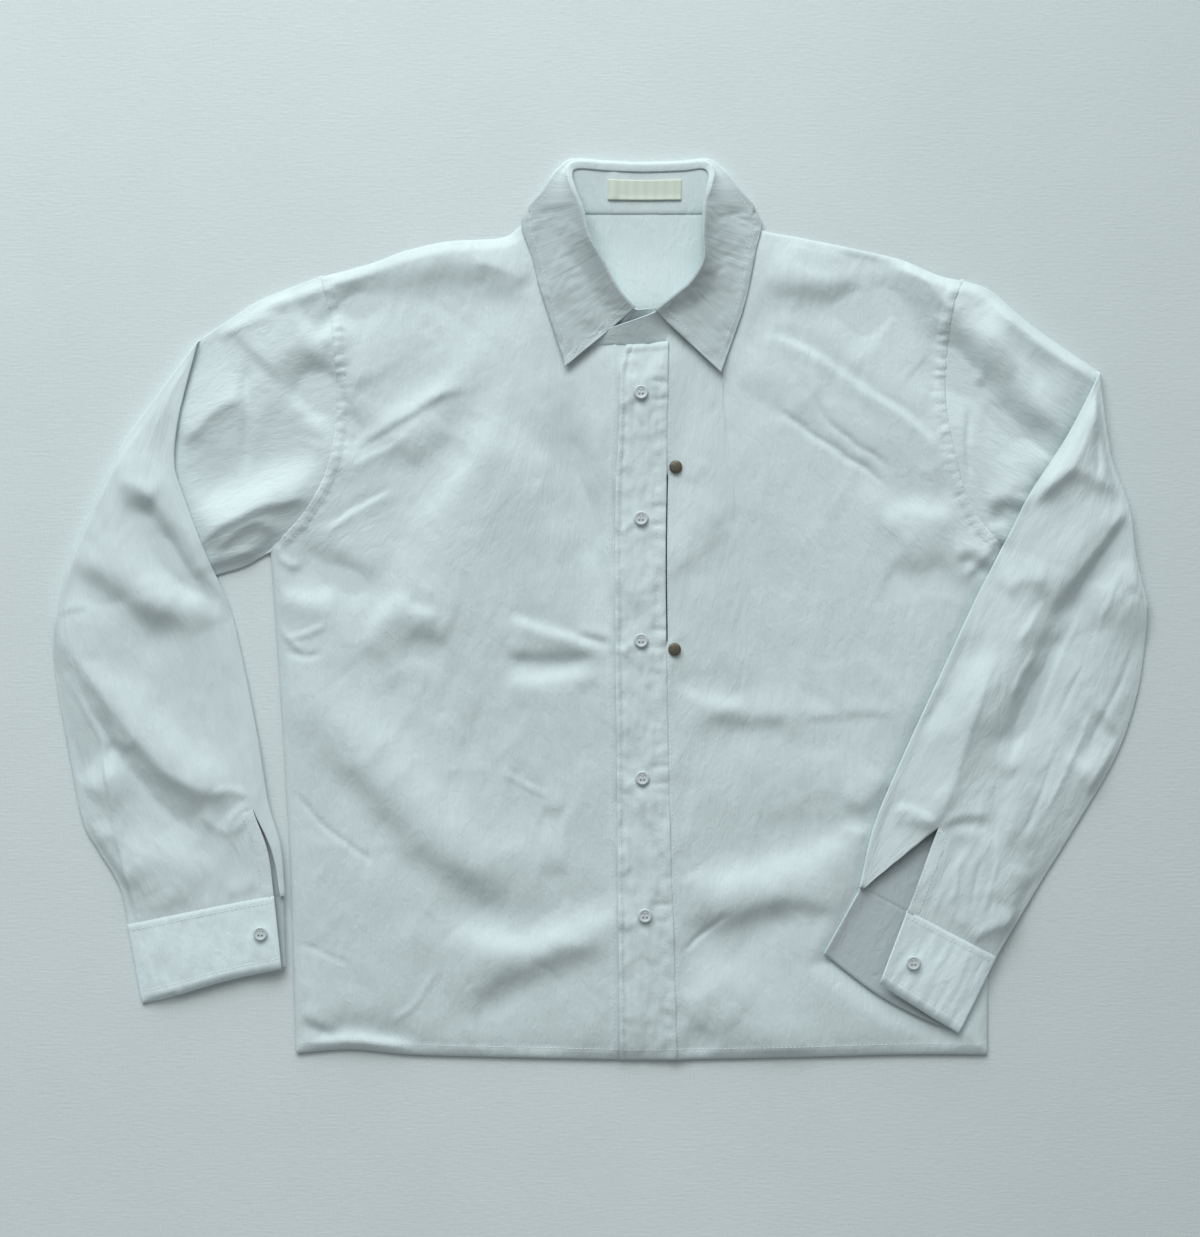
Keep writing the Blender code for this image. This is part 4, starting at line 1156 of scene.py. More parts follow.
class Surface:
    """The top of a piece, found from above."""

    def __init__(self, *pieces: Piece) -> None:
        """Takes the pieces as they stand now."""
        graph = bpy.context.evaluated_depsgraph_get()
        self.trees = [BVHTree.FromObject(piece, graph) for piece in pieces]

    def height(self, x: float, y: float) -> float:
        """Gives the height at a place in millimetres, or 0 where there is nothing.

        Args:
            x: the places across, in millimetres.
            y: the places along, in millimetres.

        Returns:
            The height, in millimetres.
        """
        above = Vector((x * METRE, y * METRE, 1.0))
        hits = [tree.ray_cast(above, Vector((0, 0, -1)))[0] for tree in self.trees]
        return max([hit.z * PER_METRE for hit in hits if hit] + [0.0])


def dress(piece: Piece, slot: str, *nodes: str) -> Piece:
    """Fixes a piece to the body and hides the solids that it stands for.

    Args:
        piece: the piece.
        slot: the finish that it takes; not used.

    Returns:
        The same piece.
    """
    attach(piece, "root")
    if nodes:
        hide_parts(*nodes)
    LOG.info("%s: %d faces", piece.name, len(piece.data.polygons) if piece.type == "MESH" else 0)
    return piece


# Finishes


def linear(hex_colour: str) -> tuple[float, float, float, float]:
    """Turns an sRGB hex colour to linear red, green, blue and alpha.

    Args:
        hex_colour: the colour, such as #ffffff.

    Returns:
        The linear values, with an alpha of 1.
    """
    values = [int(hex_colour[start:start + 2], 16) / 255 for start in (0, 2, 4)]
    values = [value / 12.92 if value <= 0.04045 else ((value + 0.055) / 1.055) ** 2.4 for value in values]
    return (values[0], values[1], values[2], 1.0)


def add_node(
    tree: Tree, kind: str, inputs: Optional[dict[Union[str, int], object]] = None,
    **settings: object,
) -> Node:
    """Adds a node.

    Args:
        tree: the node tree.
        kind: the node's type.
        inputs: for each input a value, or the output socket that feeds it.
        settings: the node's own properties.

    Returns:
        The node.
    """
    node = tree.nodes.new(kind)
    for key, value in settings.items():
        setattr(node, key, value)
    for key, value in (inputs or {}).items():
        if isinstance(value, Socket):
            tree.links.new(value, node.inputs[key])
        else:
            node.inputs[key].default_value = value
    return node


def new_material(name: str) -> tuple[Material, Tree, Node]:
    """Makes a material and gives it with its tree and its shader.

    Args:
        name: the material's name.

    Returns:
        The material, its node tree and its shader node.
    """
    material = bpy.data.materials.new(name)
    material.use_nodes = True
    return material, material.node_tree, material.node_tree.nodes["Principled BSDF"]


@dataclass(frozen=True)
class WashedCotton:
    """Plain-woven cotton shirting, washed and left unironed.

    The eye sees a dull, cool white without gloss, thick and thin threads that run with the warp,
    and close crinkles along them that catch the light. A copy painted darker as shade can take back a
    plain, unshaded colour beyond a place along Y in metres.
    """

    name: str = "washed_cotton_plain_weave"
    colour: str = "D0E1E3"
    shade: str = "C9DADC"
    crinkle_mm: tuple[float, float] = (3.8, 11.0)
    ripple_mm: tuple[float, float] = (1.9, 7.0)
    slub_mm: tuple[float, float] = (1.4, 30.0)
    crumple_mm: tuple[float, float] = (9.0, 15.0)
    patch_mm: tuple[float, float] = (40.0, 60.0)
    crumple_depth: float = 0.00108
    crinkle_depth: float = 0.0006
    ripple_depth: float = 0.0002727
    slub_depth: float = 0.00008
    # The plain colour that a copy painted darker as shade takes back beyond a place along Y, in metres; empty
    # for none.
    unshaded: str = ""
    unshaded_beyond: tuple[float, float] = (0.322, 0.342)

    def build(self) -> Material:
        """Builds the material on the cloth's own UV map, whose unit is a metre.

        The threads, 0.3 mm apart in the real cloth, are drawn 1.4 mm apart so that they show.
        """
        material, tree, shader = new_material(self.name)
        place = add_node(tree, "ShaderNodeTexCoord").outputs["UV"]
        noises = []
        for size, detail, warp in (
            (self.slub_mm, 2.0, 0.2), (self.patch_mm, 2.0, 0.5), (self.crinkle_mm, 3.0, 1.1),
            (self.ripple_mm, 2.0, 0.8), (self.crumple_mm, 3.0, 0.6),
        ):
            scale = (PER_METRE / size[0], PER_METRE / size[1], 1.0)
            placed = add_node(tree, "ShaderNodeMapping", {"Vector": place, "Scale": scale}).outputs[0]
            inputs = {
                "Vector": placed, "Scale": 1.0, "Detail": detail, "Roughness": 0.55, "Distortion": warp,
            }
            noises.append(add_node(tree, "ShaderNodeTexNoise", inputs).outputs["Fac"])
        slub, patches, crinkle, ripple, crumple = noises
        patchy = add_node(
            tree, "ShaderNodeMapRange", {"Value": patches, "From Min": 0.35, "From Max": 0.65, "To Min": 0.45},
        ).outputs[0]
        crinkle, ripple = (
            add_node(tree, "ShaderNodeMath", {0: wave, 1: patchy}, operation="MULTIPLY").outputs[0]
            for wave in (crinkle, ripple)
        )
        mottled = add_node(tree, "ShaderNodeMath", {0: slub, 1: patches}, operation="ADD").outputs[0]
        tone = add_node(tree, "ShaderNodeMapRange", {"Value": mottled, "From Min": 0.7, "From Max": 1.3})
        colour = add_node(
            tree, "ShaderNodeMix", {"Factor": tone.outputs[0], 6: linear(self.shade), 7: linear(self.colour)},
            data_type="RGBA",
        )
        # Painted shade ends here: beyond a place along Y the colour turns to the plain, unshaded one.
        if self.unshaded:
            there = add_node(tree, "ShaderNodeTexCoord").outputs["Object"]
            apart = add_node(tree, "ShaderNodeSeparateXYZ", {"Vector": there})
            near, far = self.unshaded_beyond
            shade_lifted = add_node(
                tree, "ShaderNodeMapRange", {"Value": apart.outputs["Y"], "From Min": near, "From Max": far},
            )
            colour = add_node(
                tree, "ShaderNodeMix",
                {"Factor": shade_lifted.outputs[0], 6: colour.outputs[2], 7: linear(self.unshaded)}, data_type="RGBA",
            )
        normal = None
        for height, strength, depth in (
            (crumple, 0.6, self.crumple_depth), (crinkle, 0.6, self.crinkle_depth),
            (ripple, 0.5, self.ripple_depth), (slub, 0.3, self.slub_depth),
        ):
            inputs = {"Height": height, "Strength": strength, "Distance": depth}
            if normal:
                inputs["Normal"] = normal
            normal = add_node(tree, "ShaderNodeBump", inputs).outputs[0]
        tree.links.new(colour.outputs[2], shader.inputs["Base Color"])
        tree.links.new(normal, shader.inputs["Normal"])
        shader.inputs["Roughness"].default_value = 0.88
        shader.inputs["IOR"].default_value = 1.45
        shader.inputs["Sheen Weight"].default_value = 0.12
        shader.inputs["Sheen Roughness"].default_value = 0.5
        return material


@dataclass(frozen=True)
class WovenLabel:
    """Bare damask label of polyester satin, cut and folded.

    The eye sees a warmer, greenish cream than the shirt, faint ribs across and a faint gloss.
    """

    name: str = "polyester_satin_label_woven"
    colour: str = "D2E0D3"
    shade: str = "CCDACD"
    rib_mm: float = 7.54

    def build(self) -> Material:
        """Builds the material on the label's own UV map.

        Returns:
            The material.
        """
        material, tree, shader = new_material(self.name)
        place = add_node(tree, "ShaderNodeTexCoord").outputs["UV"]
        scale = math.tau * PER_METRE / self.rib_mm / BAND_TURN
        ribs = add_node(
            tree, "ShaderNodeTexWave",
            {"Vector": place, "Scale": scale, "Distortion": 1.5, "Detail": 2.0}, bands_direction="Y",
        )
        bump = add_node(
            tree, "ShaderNodeBump", {"Height": ribs.outputs["Fac"], "Strength": 0.35, "Distance": 0.0002},
        )
        colour = add_node(
            tree, "ShaderNodeMix",
            {"Factor": ribs.outputs["Fac"], 6: linear(self.shade), 7: linear(self.colour)},
            data_type="RGBA",
        )
        tree.links.new(colour.outputs[2], shader.inputs["Base Color"])
        tree.links.new(bump.outputs[0], shader.inputs["Normal"])
        shader.inputs["Roughness"].default_value = 0.6
        return material


@dataclass(frozen=True)
class CastResin:
    """Cast polyester resin, turned and polished, as shirt buttons are.

    The eye sees a soft greyish white with a faint gloss and faint pearly clouds.
    """

    name: str = "polyester_resin_polished"
    colour: str = "CCD8DA"
    cloud: str = "BCCACD"
    cloud_mm: float = 4.0

    def build(self) -> Material:
        """Builds the material on Object coordinates.

        Returns:
            The material.
        """
        material, tree, shader = new_material(self.name)
        place = add_node(tree, "ShaderNodeTexCoord").outputs["Object"]
        clouds = add_node(
            tree, "ShaderNodeTexNoise",
            {"Vector": place, "Scale": PER_METRE / self.cloud_mm, "Detail": 2.0, "Distortion": 1.2},
        )
        colour = add_node(
            tree, "ShaderNodeMix",
            {"Factor": clouds.outputs["Fac"], 6: linear(self.cloud), 7: linear(self.colour)},
            data_type="RGBA",
        )
        tree.links.new(colour.outputs[2], shader.inputs["Base Color"])
        shader.inputs["Roughness"].default_value = 0.42
        shader.inputs["IOR"].default_value = 1.55
        shader.inputs["Coat Weight"].default_value = 0.1
        return material


@dataclass(frozen=True)
class AgedBronze:
    """Brass caps, stamped and chemically aged to an antique bronze.

    The eye sees a dull brown-gold metal, darker in blotches and brighter on the dome.
    """

    name: str = "brass_stamped_aged"
    colour: str = "8B8676"
    patina: str = "4B4943"
    blotch_mm: float = 2.2

    def build(self) -> Material:
        """Builds the material on Object coordinates.

        Returns:
            The material.
        """
        material, tree, shader = new_material(self.name)
        place = add_node(tree, "ShaderNodeTexCoord").outputs["Object"]
        blotches = add_node(
            tree, "ShaderNodeTexNoise",
            {"Vector": place, "Scale": PER_METRE / self.blotch_mm, "Detail": 4.0, "Roughness": 0.65},
        )
        colour = add_node(
            tree, "ShaderNodeMix",
            {"Factor": blotches.outputs["Fac"], 6: linear(self.patina), 7: linear(self.colour)},
            data_type="RGBA",
        )
        rough = add_node(
            tree, "ShaderNodeMapRange",
            {"Value": blotches.outputs["Fac"], "To Min": 0.62, "To Max": 0.45},
        )
        bump = add_node(
            tree, "ShaderNodeBump", {"Height": blotches.outputs["Fac"], "Strength": 0.2, "Distance": 0.0001},
        )
        tree.links.new(colour.outputs[2], shader.inputs["Base Color"])
        tree.links.new(rough.outputs[0], shader.inputs["Roughness"])
        tree.links.new(bump.outputs[0], shader.inputs["Normal"])
        shader.inputs["Metallic"].default_value = 0.85
        return material


@dataclass(frozen=True)
class SewingThread:
    """Spun polyester sewing thread.

    The eye sees short raised dashes, a touch whiter and smoother than the cotton.
    """

    name: str = "polyester_thread_spun"
    colour: str = "DAE6E8"
    twist_mm: float = 0.5

    def build(self) -> Material:
        """Builds the material on Object coordinates.

        Returns:
            The material.
        """
        material, tree, shader = new_material(self.name)
        place = add_node(tree, "ShaderNodeTexCoord").outputs["Object"]
        twist = add_node(
            tree, "ShaderNodeTexNoise", {"Vector": place, "Scale": PER_METRE / self.twist_mm, "Detail": 1.0},
        )
        bump = add_node(
            tree, "ShaderNodeBump", {"Height": twist.outputs["Fac"], "Strength": 0.3, "Distance": 0.00008},
        )
        tree.links.new(bump.outputs[0], shader.inputs["Normal"])
        shader.inputs["Base Color"].default_value = linear(self.colour)
        shader.inputs["Roughness"].default_value = 0.7
        return material


@dataclass(frozen=True)
class Finishes:
    """The finishes of the whole shirt.

    The cotton is painted whiter at the cuffs, partly for the doubled cloth and partly as painted
    light, and darker as painted shade on the collar's fall and on the side that faces into a sleeve.
    """

    cotton: Material
    double_lit_cotton: Material
    collar_shade_cotton: Material
    inner_shade_cotton: Material
    label: Material
    button: Material
    bronze: Material
    thread: Material


def grid(columns: int, rows: int) -> tuple[Array, Array]:
    """Gives the shares across and along of a grid with that many steps."""
    return np.meshgrid(np.linspace(0, 1, columns + 1), np.linspace(0, 1, rows + 1))


def with_height(plan: Array, height: Array) -> Array:
    """Joins points of the plan with their heights."""
    return np.concatenate([plan, height[..., None]], axis=-1)


def between_posts(share: Array, places: Array, posts: Array) -> Array:
    """Reads points at shares along a row of posts, each post at its place."""
    return np.stack([np.interp(share, places, posts[:, k]) for k in range(3)], axis=-1)


def side_edge(side: Line, armhole: Line) -> Chain:
    """Gives the edge from the hem up the side and on round the armhole."""
    return Chain((Curve(back_to_front(side)), SIDE_ROWS), (Curve(back_to_front(armhole)), ARMHOLE_ROWS))


# Body


@dataclass
class Body:
    """The back, the two fronts and the placket strip."""

    finishes: Finishes
    fine: int = 13
    column_fine: int = 11
    back_fine: int = 5
    lap_columns: int = 12
    lap_share: float = 0.92
    strip_columns: int = 26
    hem_depth: float = 8.0
    seam_band: float = 7.5
    armhole_rows: tuple[float, float] = (1.6, 6.8)
    edge_ridge: float = 3.4
    neck_rise: float = 7.0
    strip_top: float = 0.976
    strip_slant: float = 0.008
    strip_narrow: float = 6.0
    strip_narrow_from: float = 183.0
    strip_narrow_blend: float = 27.0
    stitch_groove: float = 0.9
    tuck: float = 1.4
    slit_gap: float = 1.2
    slit_blend: float = 8.0

    @property
    def rows(self) -> int:
        """Gives the number of steps from hem to neck."""
        return (SIDE_ROWS + ARMHOLE_ROWS) * self.fine

    @property
    def columns(self) -> int:
        """Gives the number of steps across a front."""
        return (SHOULDER_COLUMNS + NECK_COLUMNS) * self.column_fine

    def trims(self, x: Array, y: Array, armhole: Line, shoulder: Line) -> Array:
        """Gives the turned-up hem, the puckered double band at an armhole and the shoulder seam.

        Args:
            x: the points' places along X.
            y: the points' places along Y.
            armhole: the front's armhole.
            shoulder: the front's shoulder line.

        Returns:
            What they raise the cloth by.
        """
        hem = Curve(HEM_RIGHT + HEM_LEFT).points
        above = distance(hem, x, y)
        turn_up = 0.5 * ease((self.hem_depth + 1.2 - above) / 2.4)
        turn_up += 0.3 * swell(x / 7, y / 8, 73) * bell(above - self.hem_depth, 4)
        curve = Curve(armhole)
        away, share = nearest(curve.points, x, y)
        away = np.abs(away)
        run = share * curve.length
        inside = (share > 0.0) & (share < 1.0)
        band = 0.8 * ease((self.seam_band + 1.2 - away) / 2.2) - 0.95 * bell(away, 1.4)
        grooves = sum(bell(away - row, self.stitch_groove) for row in self.armhole_rows)
        pucker = 0.9 * swell(run / 5.0, away / 14, 71) + 0.8 * swell(run / 3.2, away / 20, 72)
        pucker = pucker * bell(away - 5, 5.5) - 0.3 * grooves
        seam = distance(Curve(shoulder).points, x, y)
        shoulder_seam = 0.45 * ease((5.2 - seam) / 1.4)
        shoulder_seam += 0.25 * swell(x / 6, y / 9, 74) * bell(seam, 7)
        return turn_up + shoulder_seam + np.where(inside, band + pucker, 0.0)

    def front_right(self) -> tuple[Piece, Array]:
        """Makes the right front, which runs on under the placket.

        Returns:
            The piece and the middle points of the placket strip above it.
        """
        west = side_edge(SIDE_RIGHT, ARMHOLE_RIGHT)
        north = Chain(
            (Curve(back_to_front(SHOULDER_RIGHT)), SHOULDER_COLUMNS), (Curve(NECK_RIGHT), NECK_COLUMNS),
        )
        east, seam = Curve(back_to_front(PLACKET_EDGE)), Curve(back_to_front(PLACKET_SEAM))
        u, v = grid(self.columns, self.rows)
        panel = patch(Curve(HEM_RIGHT), north, west, east)(u, v)
        s, t = grid(self.lap_columns, self.rows)
        lap = mix(east.at(t), seam.at(t), (s * self.lap_share)[..., None])
        points = np.concatenate([panel, lap[:, 1:]], axis=1)
        x, y = points[..., 0], points[..., 1]
        height = body_surface(x, y) + self.trims(x, y, ARMHOLE_RIGHT, SHOULDER_RIGHT) * ease((14 - x) / 6)
        beside = nearest(Curve(PLACKET_EDGE).points, x, y)[0]
        height += 0.8 * bell(beside + self.edge_ridge, 1.5) * ease((y + 351) / 4)
        piece = cloth("front_right_cloth", with_height(points, height), self.finishes.cotton)
        dress(piece, "washed_cotton", "front_right")

        s, t = grid(self.strip_columns, self.rows)
        t = t * (self.strip_top + self.strip_slant * s)
        strip = mix(east.at(t), seam.at(t), s[..., None])
        narrowed = ease((strip[..., 1] - self.strip_narrow_from) / self.strip_narrow_blend)
        strip[..., 0] += self.strip_narrow * narrowed * (1 - s)
        return piece, strip

    def placket(self, strip: Array) -> Piece:
        """Makes the strip down the front with its pulls at the buttons and puckers at its edges.

        Args:
            strip: the strip's points.

        Returns:
            The piece.
        """
        x, y = strip[..., 0], strip[..., 1]
        width = strip[:, -1:, 0] - strip[:, :1, 0]
        across = (x - strip[:, :1, 0]) / width
        height = body_surface(x, y) + ON_PANEL
        left, right = across * width, (1 - across) * width
        height += 0.75 * bell(left - 1.2, 1.5) - 0.8 * bell(left - 5.2, 1.2)
        height += 0.5 * ease((self.seam_band + 1 - right) / 2)
        height -= 0.3 * bell(right - 7.2, self.stitch_groove)
        sewn = bell(left - 4, 5) + bell(right - 6, 6)
        height += 0.6 * swell(x / 14, y / 7.5, 81) * sewn
        height += 0.7 * swell(x / 11, y / 20, 82) + 0.55 * swell(x / 5.5, y / 30, 83)
        height += 0.3 * swell(x / 4, y / 9, 84)
        for number, (bx, by) in enumerate(PLACKET_BUTTONS):
            pulls = tuple(
                Crease([(bx + dx, by + dy) for dx, dy in line], width, depth, Profile.RIDGE)
                for width, depth, *line in BUTTON_PULLS
            )
            height += Relief(pulls, seed=90 + number, crumple=0.0, small=0).at(x, y)
        height += Relief(PLACKET_TOP_FOLD, seed=99, crumple=0.0, small=0).at(x, y)
        under_top = y[-1:] - y
        height += 1.5 * bell(under_top - 3, 2.6) - 0.6 * bell(under_top, 1.2)
        piece = cloth("placket_cloth", with_height(strip, height), self.finishes.cotton)
        dress(piece, "washed_cotton", "placket")
        return piece

    def front_left(self) -> Piece:
        """Makes the left front, whose edge runs under the placket's except along the open slit.

        Returns:
            The piece.
        """
        west = Curve(back_to_front(PLACKET_SEAM))
        east = side_edge(SIDE_LEFT, ARMHOLE_LEFT)
        north = Chain(
            (Curve(back_to_front(NECK_LEFT)), NECK_COLUMNS), (Curve(SHOULDER_LEFT), SHOULDER_COLUMNS),
        )
        u, v = grid(self.columns, self.rows)
        points = patch(Curve(HEM_LEFT), north, west, east)(u, v)
        y = points[:, :1, 1]
        slit = ease((SLIT_TOP - y) / self.slit_blend) * ease((y - SLIT_BOTTOM) / self.slit_blend)
        seam_x = points[:, :1, 0]
        pull = mix(-self.tuck, self.slit_gap, slit)
        beside = (1 - u) ** 12
        points[..., 0] += pull * beside
        x, y = points[..., 0], points[..., 1]
        raised = mix(1.25, 0.6, slit) * ease(1 - (x - seam_x) / 16)
        under = -0.6 * (1 - slit) * ease(1 - (x - seam_x - pull) / 4)
        height = body_surface(x, y) + raised + under + self.trims(x, y, ARMHOLE_LEFT, SHOULDER_LEFT)
        piece = cloth("front_left_cloth", with_height(points, height), self.finishes.cotton)
        dress(piece, "washed_cotton", "front_left")
        return piece

    def back(self) -> Piece:
        """Makes the back, flat on the surface but for its fine crinkle.

        Returns:
            The piece.
        """
        west, east = side_edge(SIDE_RIGHT, ARMHOLE_RIGHT), side_edge(SIDE_LEFT, ARMHOLE_LEFT)
        north = Chain(
            (Curve(back_to_front(SHOULDER_RIGHT)), SHOULDER_COLUMNS), (Curve(NECK_BACK), BACK_NECK_COLUMNS),
            (Curve(SHOULDER_LEFT), SHOULDER_COLUMNS),
        )
        columns, rows = 2 * SHOULDER_COLUMNS + BACK_NECK_COLUMNS, SIDE_ROWS + ARMHOLE_ROWS
        u, v = grid(columns * self.back_fine, rows * self.back_fine)
        points = patch(Curve(HEM_RIGHT + HEM_LEFT), north, west, east)(u, v)
        points[:, 0, 0] += BACK_INSET
        points[:, -1, 0] -= BACK_INSET
        x, y = points[..., 0], points[..., 1]
        crinkle = 0.22 * (1 + swell(x / 9, y / 34, 61)) + 0.15 * (1 + swell(x / 26, y / 40, 62))
        height = FLOOR_LAYER + np.maximum(crinkle - 0.12, 0.0) * ease(distance(SILHOUETTE, x, y) / 10)
        rise_length = np.where(y > NECK_RISE_CENTRE[1], NECK_RISE_UP, NECK_RISE_DOWN)
        height += self.neck_rise * spot(x, y, NECK_RISE_CENTRE, (NECK_RISE_WIDTH, rise_length))
        piece = cloth("back_cloth", with_height(points, height), self.finishes.cotton)
        dress(piece, "washed_cotton", "back")
        return piece


# Sleeves


@dataclass
class SleeveSide:
    """One sleeve with the binding of its slit and its cuff."""

    finishes: Finishes
    name: str
    rows: SleeveRows
    main_columns: int
    flap_columns: int
    flat: tuple[float, float]
    area: float
    mouth: float = 0.0
    free_edge: float = 0.6
    under_columns: int = 78
    turn_steps: int = 5
    fold_steps: int = 8
    upper_rings: int = 76
    lower_rings: int = 132
    cuff_rings: int = 26
    binding_width: float = 10.5
    binding_columns: int = 10
    binding_lift: float = 0.45
    width: float = 120.0
    turn_length: float = 14.0
    armhole_tuck: float = 2.2
    armhole_sink: float = 0.3
    gathered: float = 0.45
    cuff_length: float = 55.0
    cuff_rows: tuple[float, float] = (3.5, 47.0)
    cuff_sewn: tuple[float, float] = (0.06, 0.85)
    groove: float = 0.3
    groove_width: float = 1.1

    @property
    def slit_rings(self) -> int:
        """Gives how many of the lower half's steps the slit crosses."""
        return int(self.lower_rings * (1 - self.rows.slit[0].along))

    def lower_plan(self) -> Plan:
        """Gives the plan of the half below the elbow fold."""
        rows = self.rows
        return patch(Curve(rows.fold), Curve(rows.seam), Curve(rows.low_a), Curve(rows.low_b))

    def cuff_plan(self) -> Plan:
        """Gives the plan of the cuff from its seam to its edge.

        Returns:
            A function from shares (across, along) to points.
        """
        rows = self.rows
        sides = [Curve((rows.seam[k], rows.edge[k])) for k in (0, -1)]
        return patch(Curve(rows.seam), Curve(rows.edge), *sides)

    def reached(self, across: Array, along: Array) -> Array:
        """Gives the shares along the cuff's top layer, whose mouth draws back towards the slit."""
        return along * (1 - self.mouth * (1 - across ** 3))

    def wrap(self, over: Array, under: Array, tail: Optional[Array]) -> Array:
        """Joins a sleeve's two layers round their edges.

        Args:
            over: the back layer from the slit to edge B, rings by columns.
            under: the front layer from edge B to edge A.
            tail: the back layer from edge A to the slit, or None where the ring ends at edge A.

        Returns:
            The rings.
        """
        parts = [over, self.edge_turn(over[:, -1], under[:, 0], over[:, -1] - over[:, -3]), under]
        if tail is not None:
            parts += [self.edge_turn(under[:, -1], tail[:, 0], tail[:, 0] - tail[:, 2]), tail]
        return np.concatenate(parts, axis=1)

    def edge_turn(self, start: Array, end: Array, outward: Array) -> Array:
        """Takes each ring round an edge, from one layer to the other.

        Args:
            start: the points that the turn leaves.
            end: the points that it reaches.
            outward: the way out over the edge.

        Returns:
            The points of the turn between the two.
        """
        outward = outward * np.array((1.0, 1.0, 0.0))
        outward = outward / np.linalg.norm(outward, axis=-1, keepdims=True)
        centre, half = (start + end) / 2, (start - end) / 2
        radius = np.linalg.norm(half, axis=-1, keepdims=True)
        angles = np.linspace(0, math.pi, self.turn_steps + 2)[1:-1]
        outward = outward * radius
        ring = [centre + half * math.cos(angle) + outward * math.sin(angle) for angle in angles]
        return np.stack(ring, axis=1)

    def slit_shares(self, along: Array) -> tuple[Array, Array]:
        """Gives how far across the slit's two edges lie at shares along the lower half.

        Args:
            along: the shares along.

        Returns:
            The shares across of the main edge and of the other.
        """
        places = [row.along for row in self.rows.slit]
        main = np.interp(along, places, [row.main for row in self.rows.slit])
        flap = np.interp(along, places, [row.flap for row in self.rows.slit])
        return main[:, None], flap[:, None]

    def shares(self, main: Array, flap: Array) -> tuple[Array, Array, Array]:
        """Gives the shares across of the back layer, the front layer and the slit's other edge.

        Args:
            main: the shares across of the slit's main edge.
            flap: those of its other edge.

        Returns:
            The shares of each of the three.
        """
        over = mix(main, 1.0, np.linspace(0, 1, self.main_columns + 1))
        count = self.under_columns + 1
        under = np.broadcast_to(np.linspace(1, 0, count), (len(main), count))
        return over, under, flap * np.linspace(0, 1, self.flap_columns + 1)

    def inset(self, plan: Plan, across: Array, along: Array, at_fold: float) -> Array:
        """Gives points of a half, drawn in from the fold by the fold's own turn.

        Args:
            plan: the half's plan.
            across: shares across.
            along: shares along.
            at_fold: the share along at which the fold lies, 0 or 1.

        Returns:
            The points.
        """
        step = 0.03 if at_fold == 0 else -0.03
        fold = plan(across, np.full_like(across, at_fold))
        inward = plan(across, np.full_like(across, at_fold + step)) - fold
        length = np.linalg.norm(inward, axis=-1, keepdims=True)
        away = np.abs(along - at_fold)[..., None] * length / abs(step)
        return plan(across, along) + inward / length * OUTER_TURN * np.exp(-away / self.turn_length)

    def tube(self) -> tuple[Piece, Array]:
        """Makes the sleeve from its armhole round the elbow fold to the seam of its cuff.

        Returns:
            The piece and its rings.
        """
        rows = self.rows
        armhole, fold = Curve(rows.armhole), Curve(rows.fold)
        top, low = patch(armhole, fold, Curve(rows.top_a), Curve(rows.top_b)), self.lower_plan()
        along = np.linspace(0, 1, self.upper_rings + 1)[:, None]
        over, under, tail = self.shares(*self.slit_shares(np.zeros(self.upper_rings + 1)))
        upper = []
        for share in (over, under, tail):
            points = self.inset(top, share, np.broadcast_to(along, share.shape), 1.0)
            hidden = share is under
            offset = (-self.armhole_tuck if hidden else SEAM) * np.exp(-along * 40)
            points = points + armhole.side(share, rows.outward) * offset[..., None]
            if hidden:
                ends = ease(share / 0.03) * ease((1 - share) / 0.03)
                height = body_surface(points[..., 0], points[..., 1])
                height = height - self.armhole_sink * np.exp(-along * 30) * ends
                height = np.maximum(height, FLOOR_LAYER + 1.05)
            else:
                height = np.full(points.shape[:2], FLOOR_LAYER)
            upper.append(with_height(points, height))

        slit_top = rows.slit[0].along
        slit_rings = self.slit_rings
        places = np.concatenate([
            np.linspace(0, slit_top, self.lower_rings - slit_rings + 1),
            np.linspace(slit_top, 1, slit_rings + 1)[1:],
        ])
        along = places[:, None]
        over, under, tail = self.shares(*self.slit_shares(places))
        lower = []
        for share in (over, under, tail):
            points = self.inset(low, share, np.broadcast_to(along, share.shape), 0.0)
            x, y = points[..., 0], points[..., 1]
            height = support_height(x, y)
            if share is not under:
                lift = mix(plain_lift(x, y), folded_lift(x, y, rows.outward), ease((1 - along) * 24))
                gathered = self.gathered * ease((along - 0.965) / 0.025)
                height = height + mix(LAYER, lift, ease(along * 24)) + gathered
                edge = np.abs(share - (share[:, :1] if share is over else share[:, -1:])) * self.width
                lifted = self.free_edge * (1.0 if share is over else 0.1)
                height += lifted * np.exp(-edge / self.turn_length) * ease((along - slit_top - 0.02) / 0.14)
            lower.append(with_height(points, height))

        turns = []
        for angle in np.linspace(-math.pi / 2, math.pi / 2, self.fold_steps + 2)[1:-1]:
            share = (1 + math.sin(angle)) / 2
            ring = []
            for index, radius in enumerate((OUTER_TURN, INNER_TURN, OUTER_TURN)):
                start, end = upper[index][-1], lower[index][0]
                across = (over[0], under[0], tail[0])[index]
                crest = fold.at(across)
                plan = mix(start[:, :2], end[:, :2], share) - crest
                plan = crest + plan * (OUTER_TURN - radius * math.cos(angle)) / OUTER_TURN
                ring.append(with_height(plan, mix(start[:, 2], end[:, 2], share)))
            turns.append(ring)
        rings = self.wrap(*(
            np.concatenate([upper[k], np.stack([ring[k] for ring in turns]), lower[k]]) for k in range(3)
        ))
        # The inside of the tube takes a cotton painted darker as shade.
        piece = cloth(
            "sleeve_%s_cloth" % self.name, rings, self.finishes.cotton, joined=True,
            inner=self.finishes.inner_shade_cotton, turned=self.rows.outward > 0,
        )
        dress(piece, "washed_cotton", "sleeve_" + self.name)
        return piece, rings

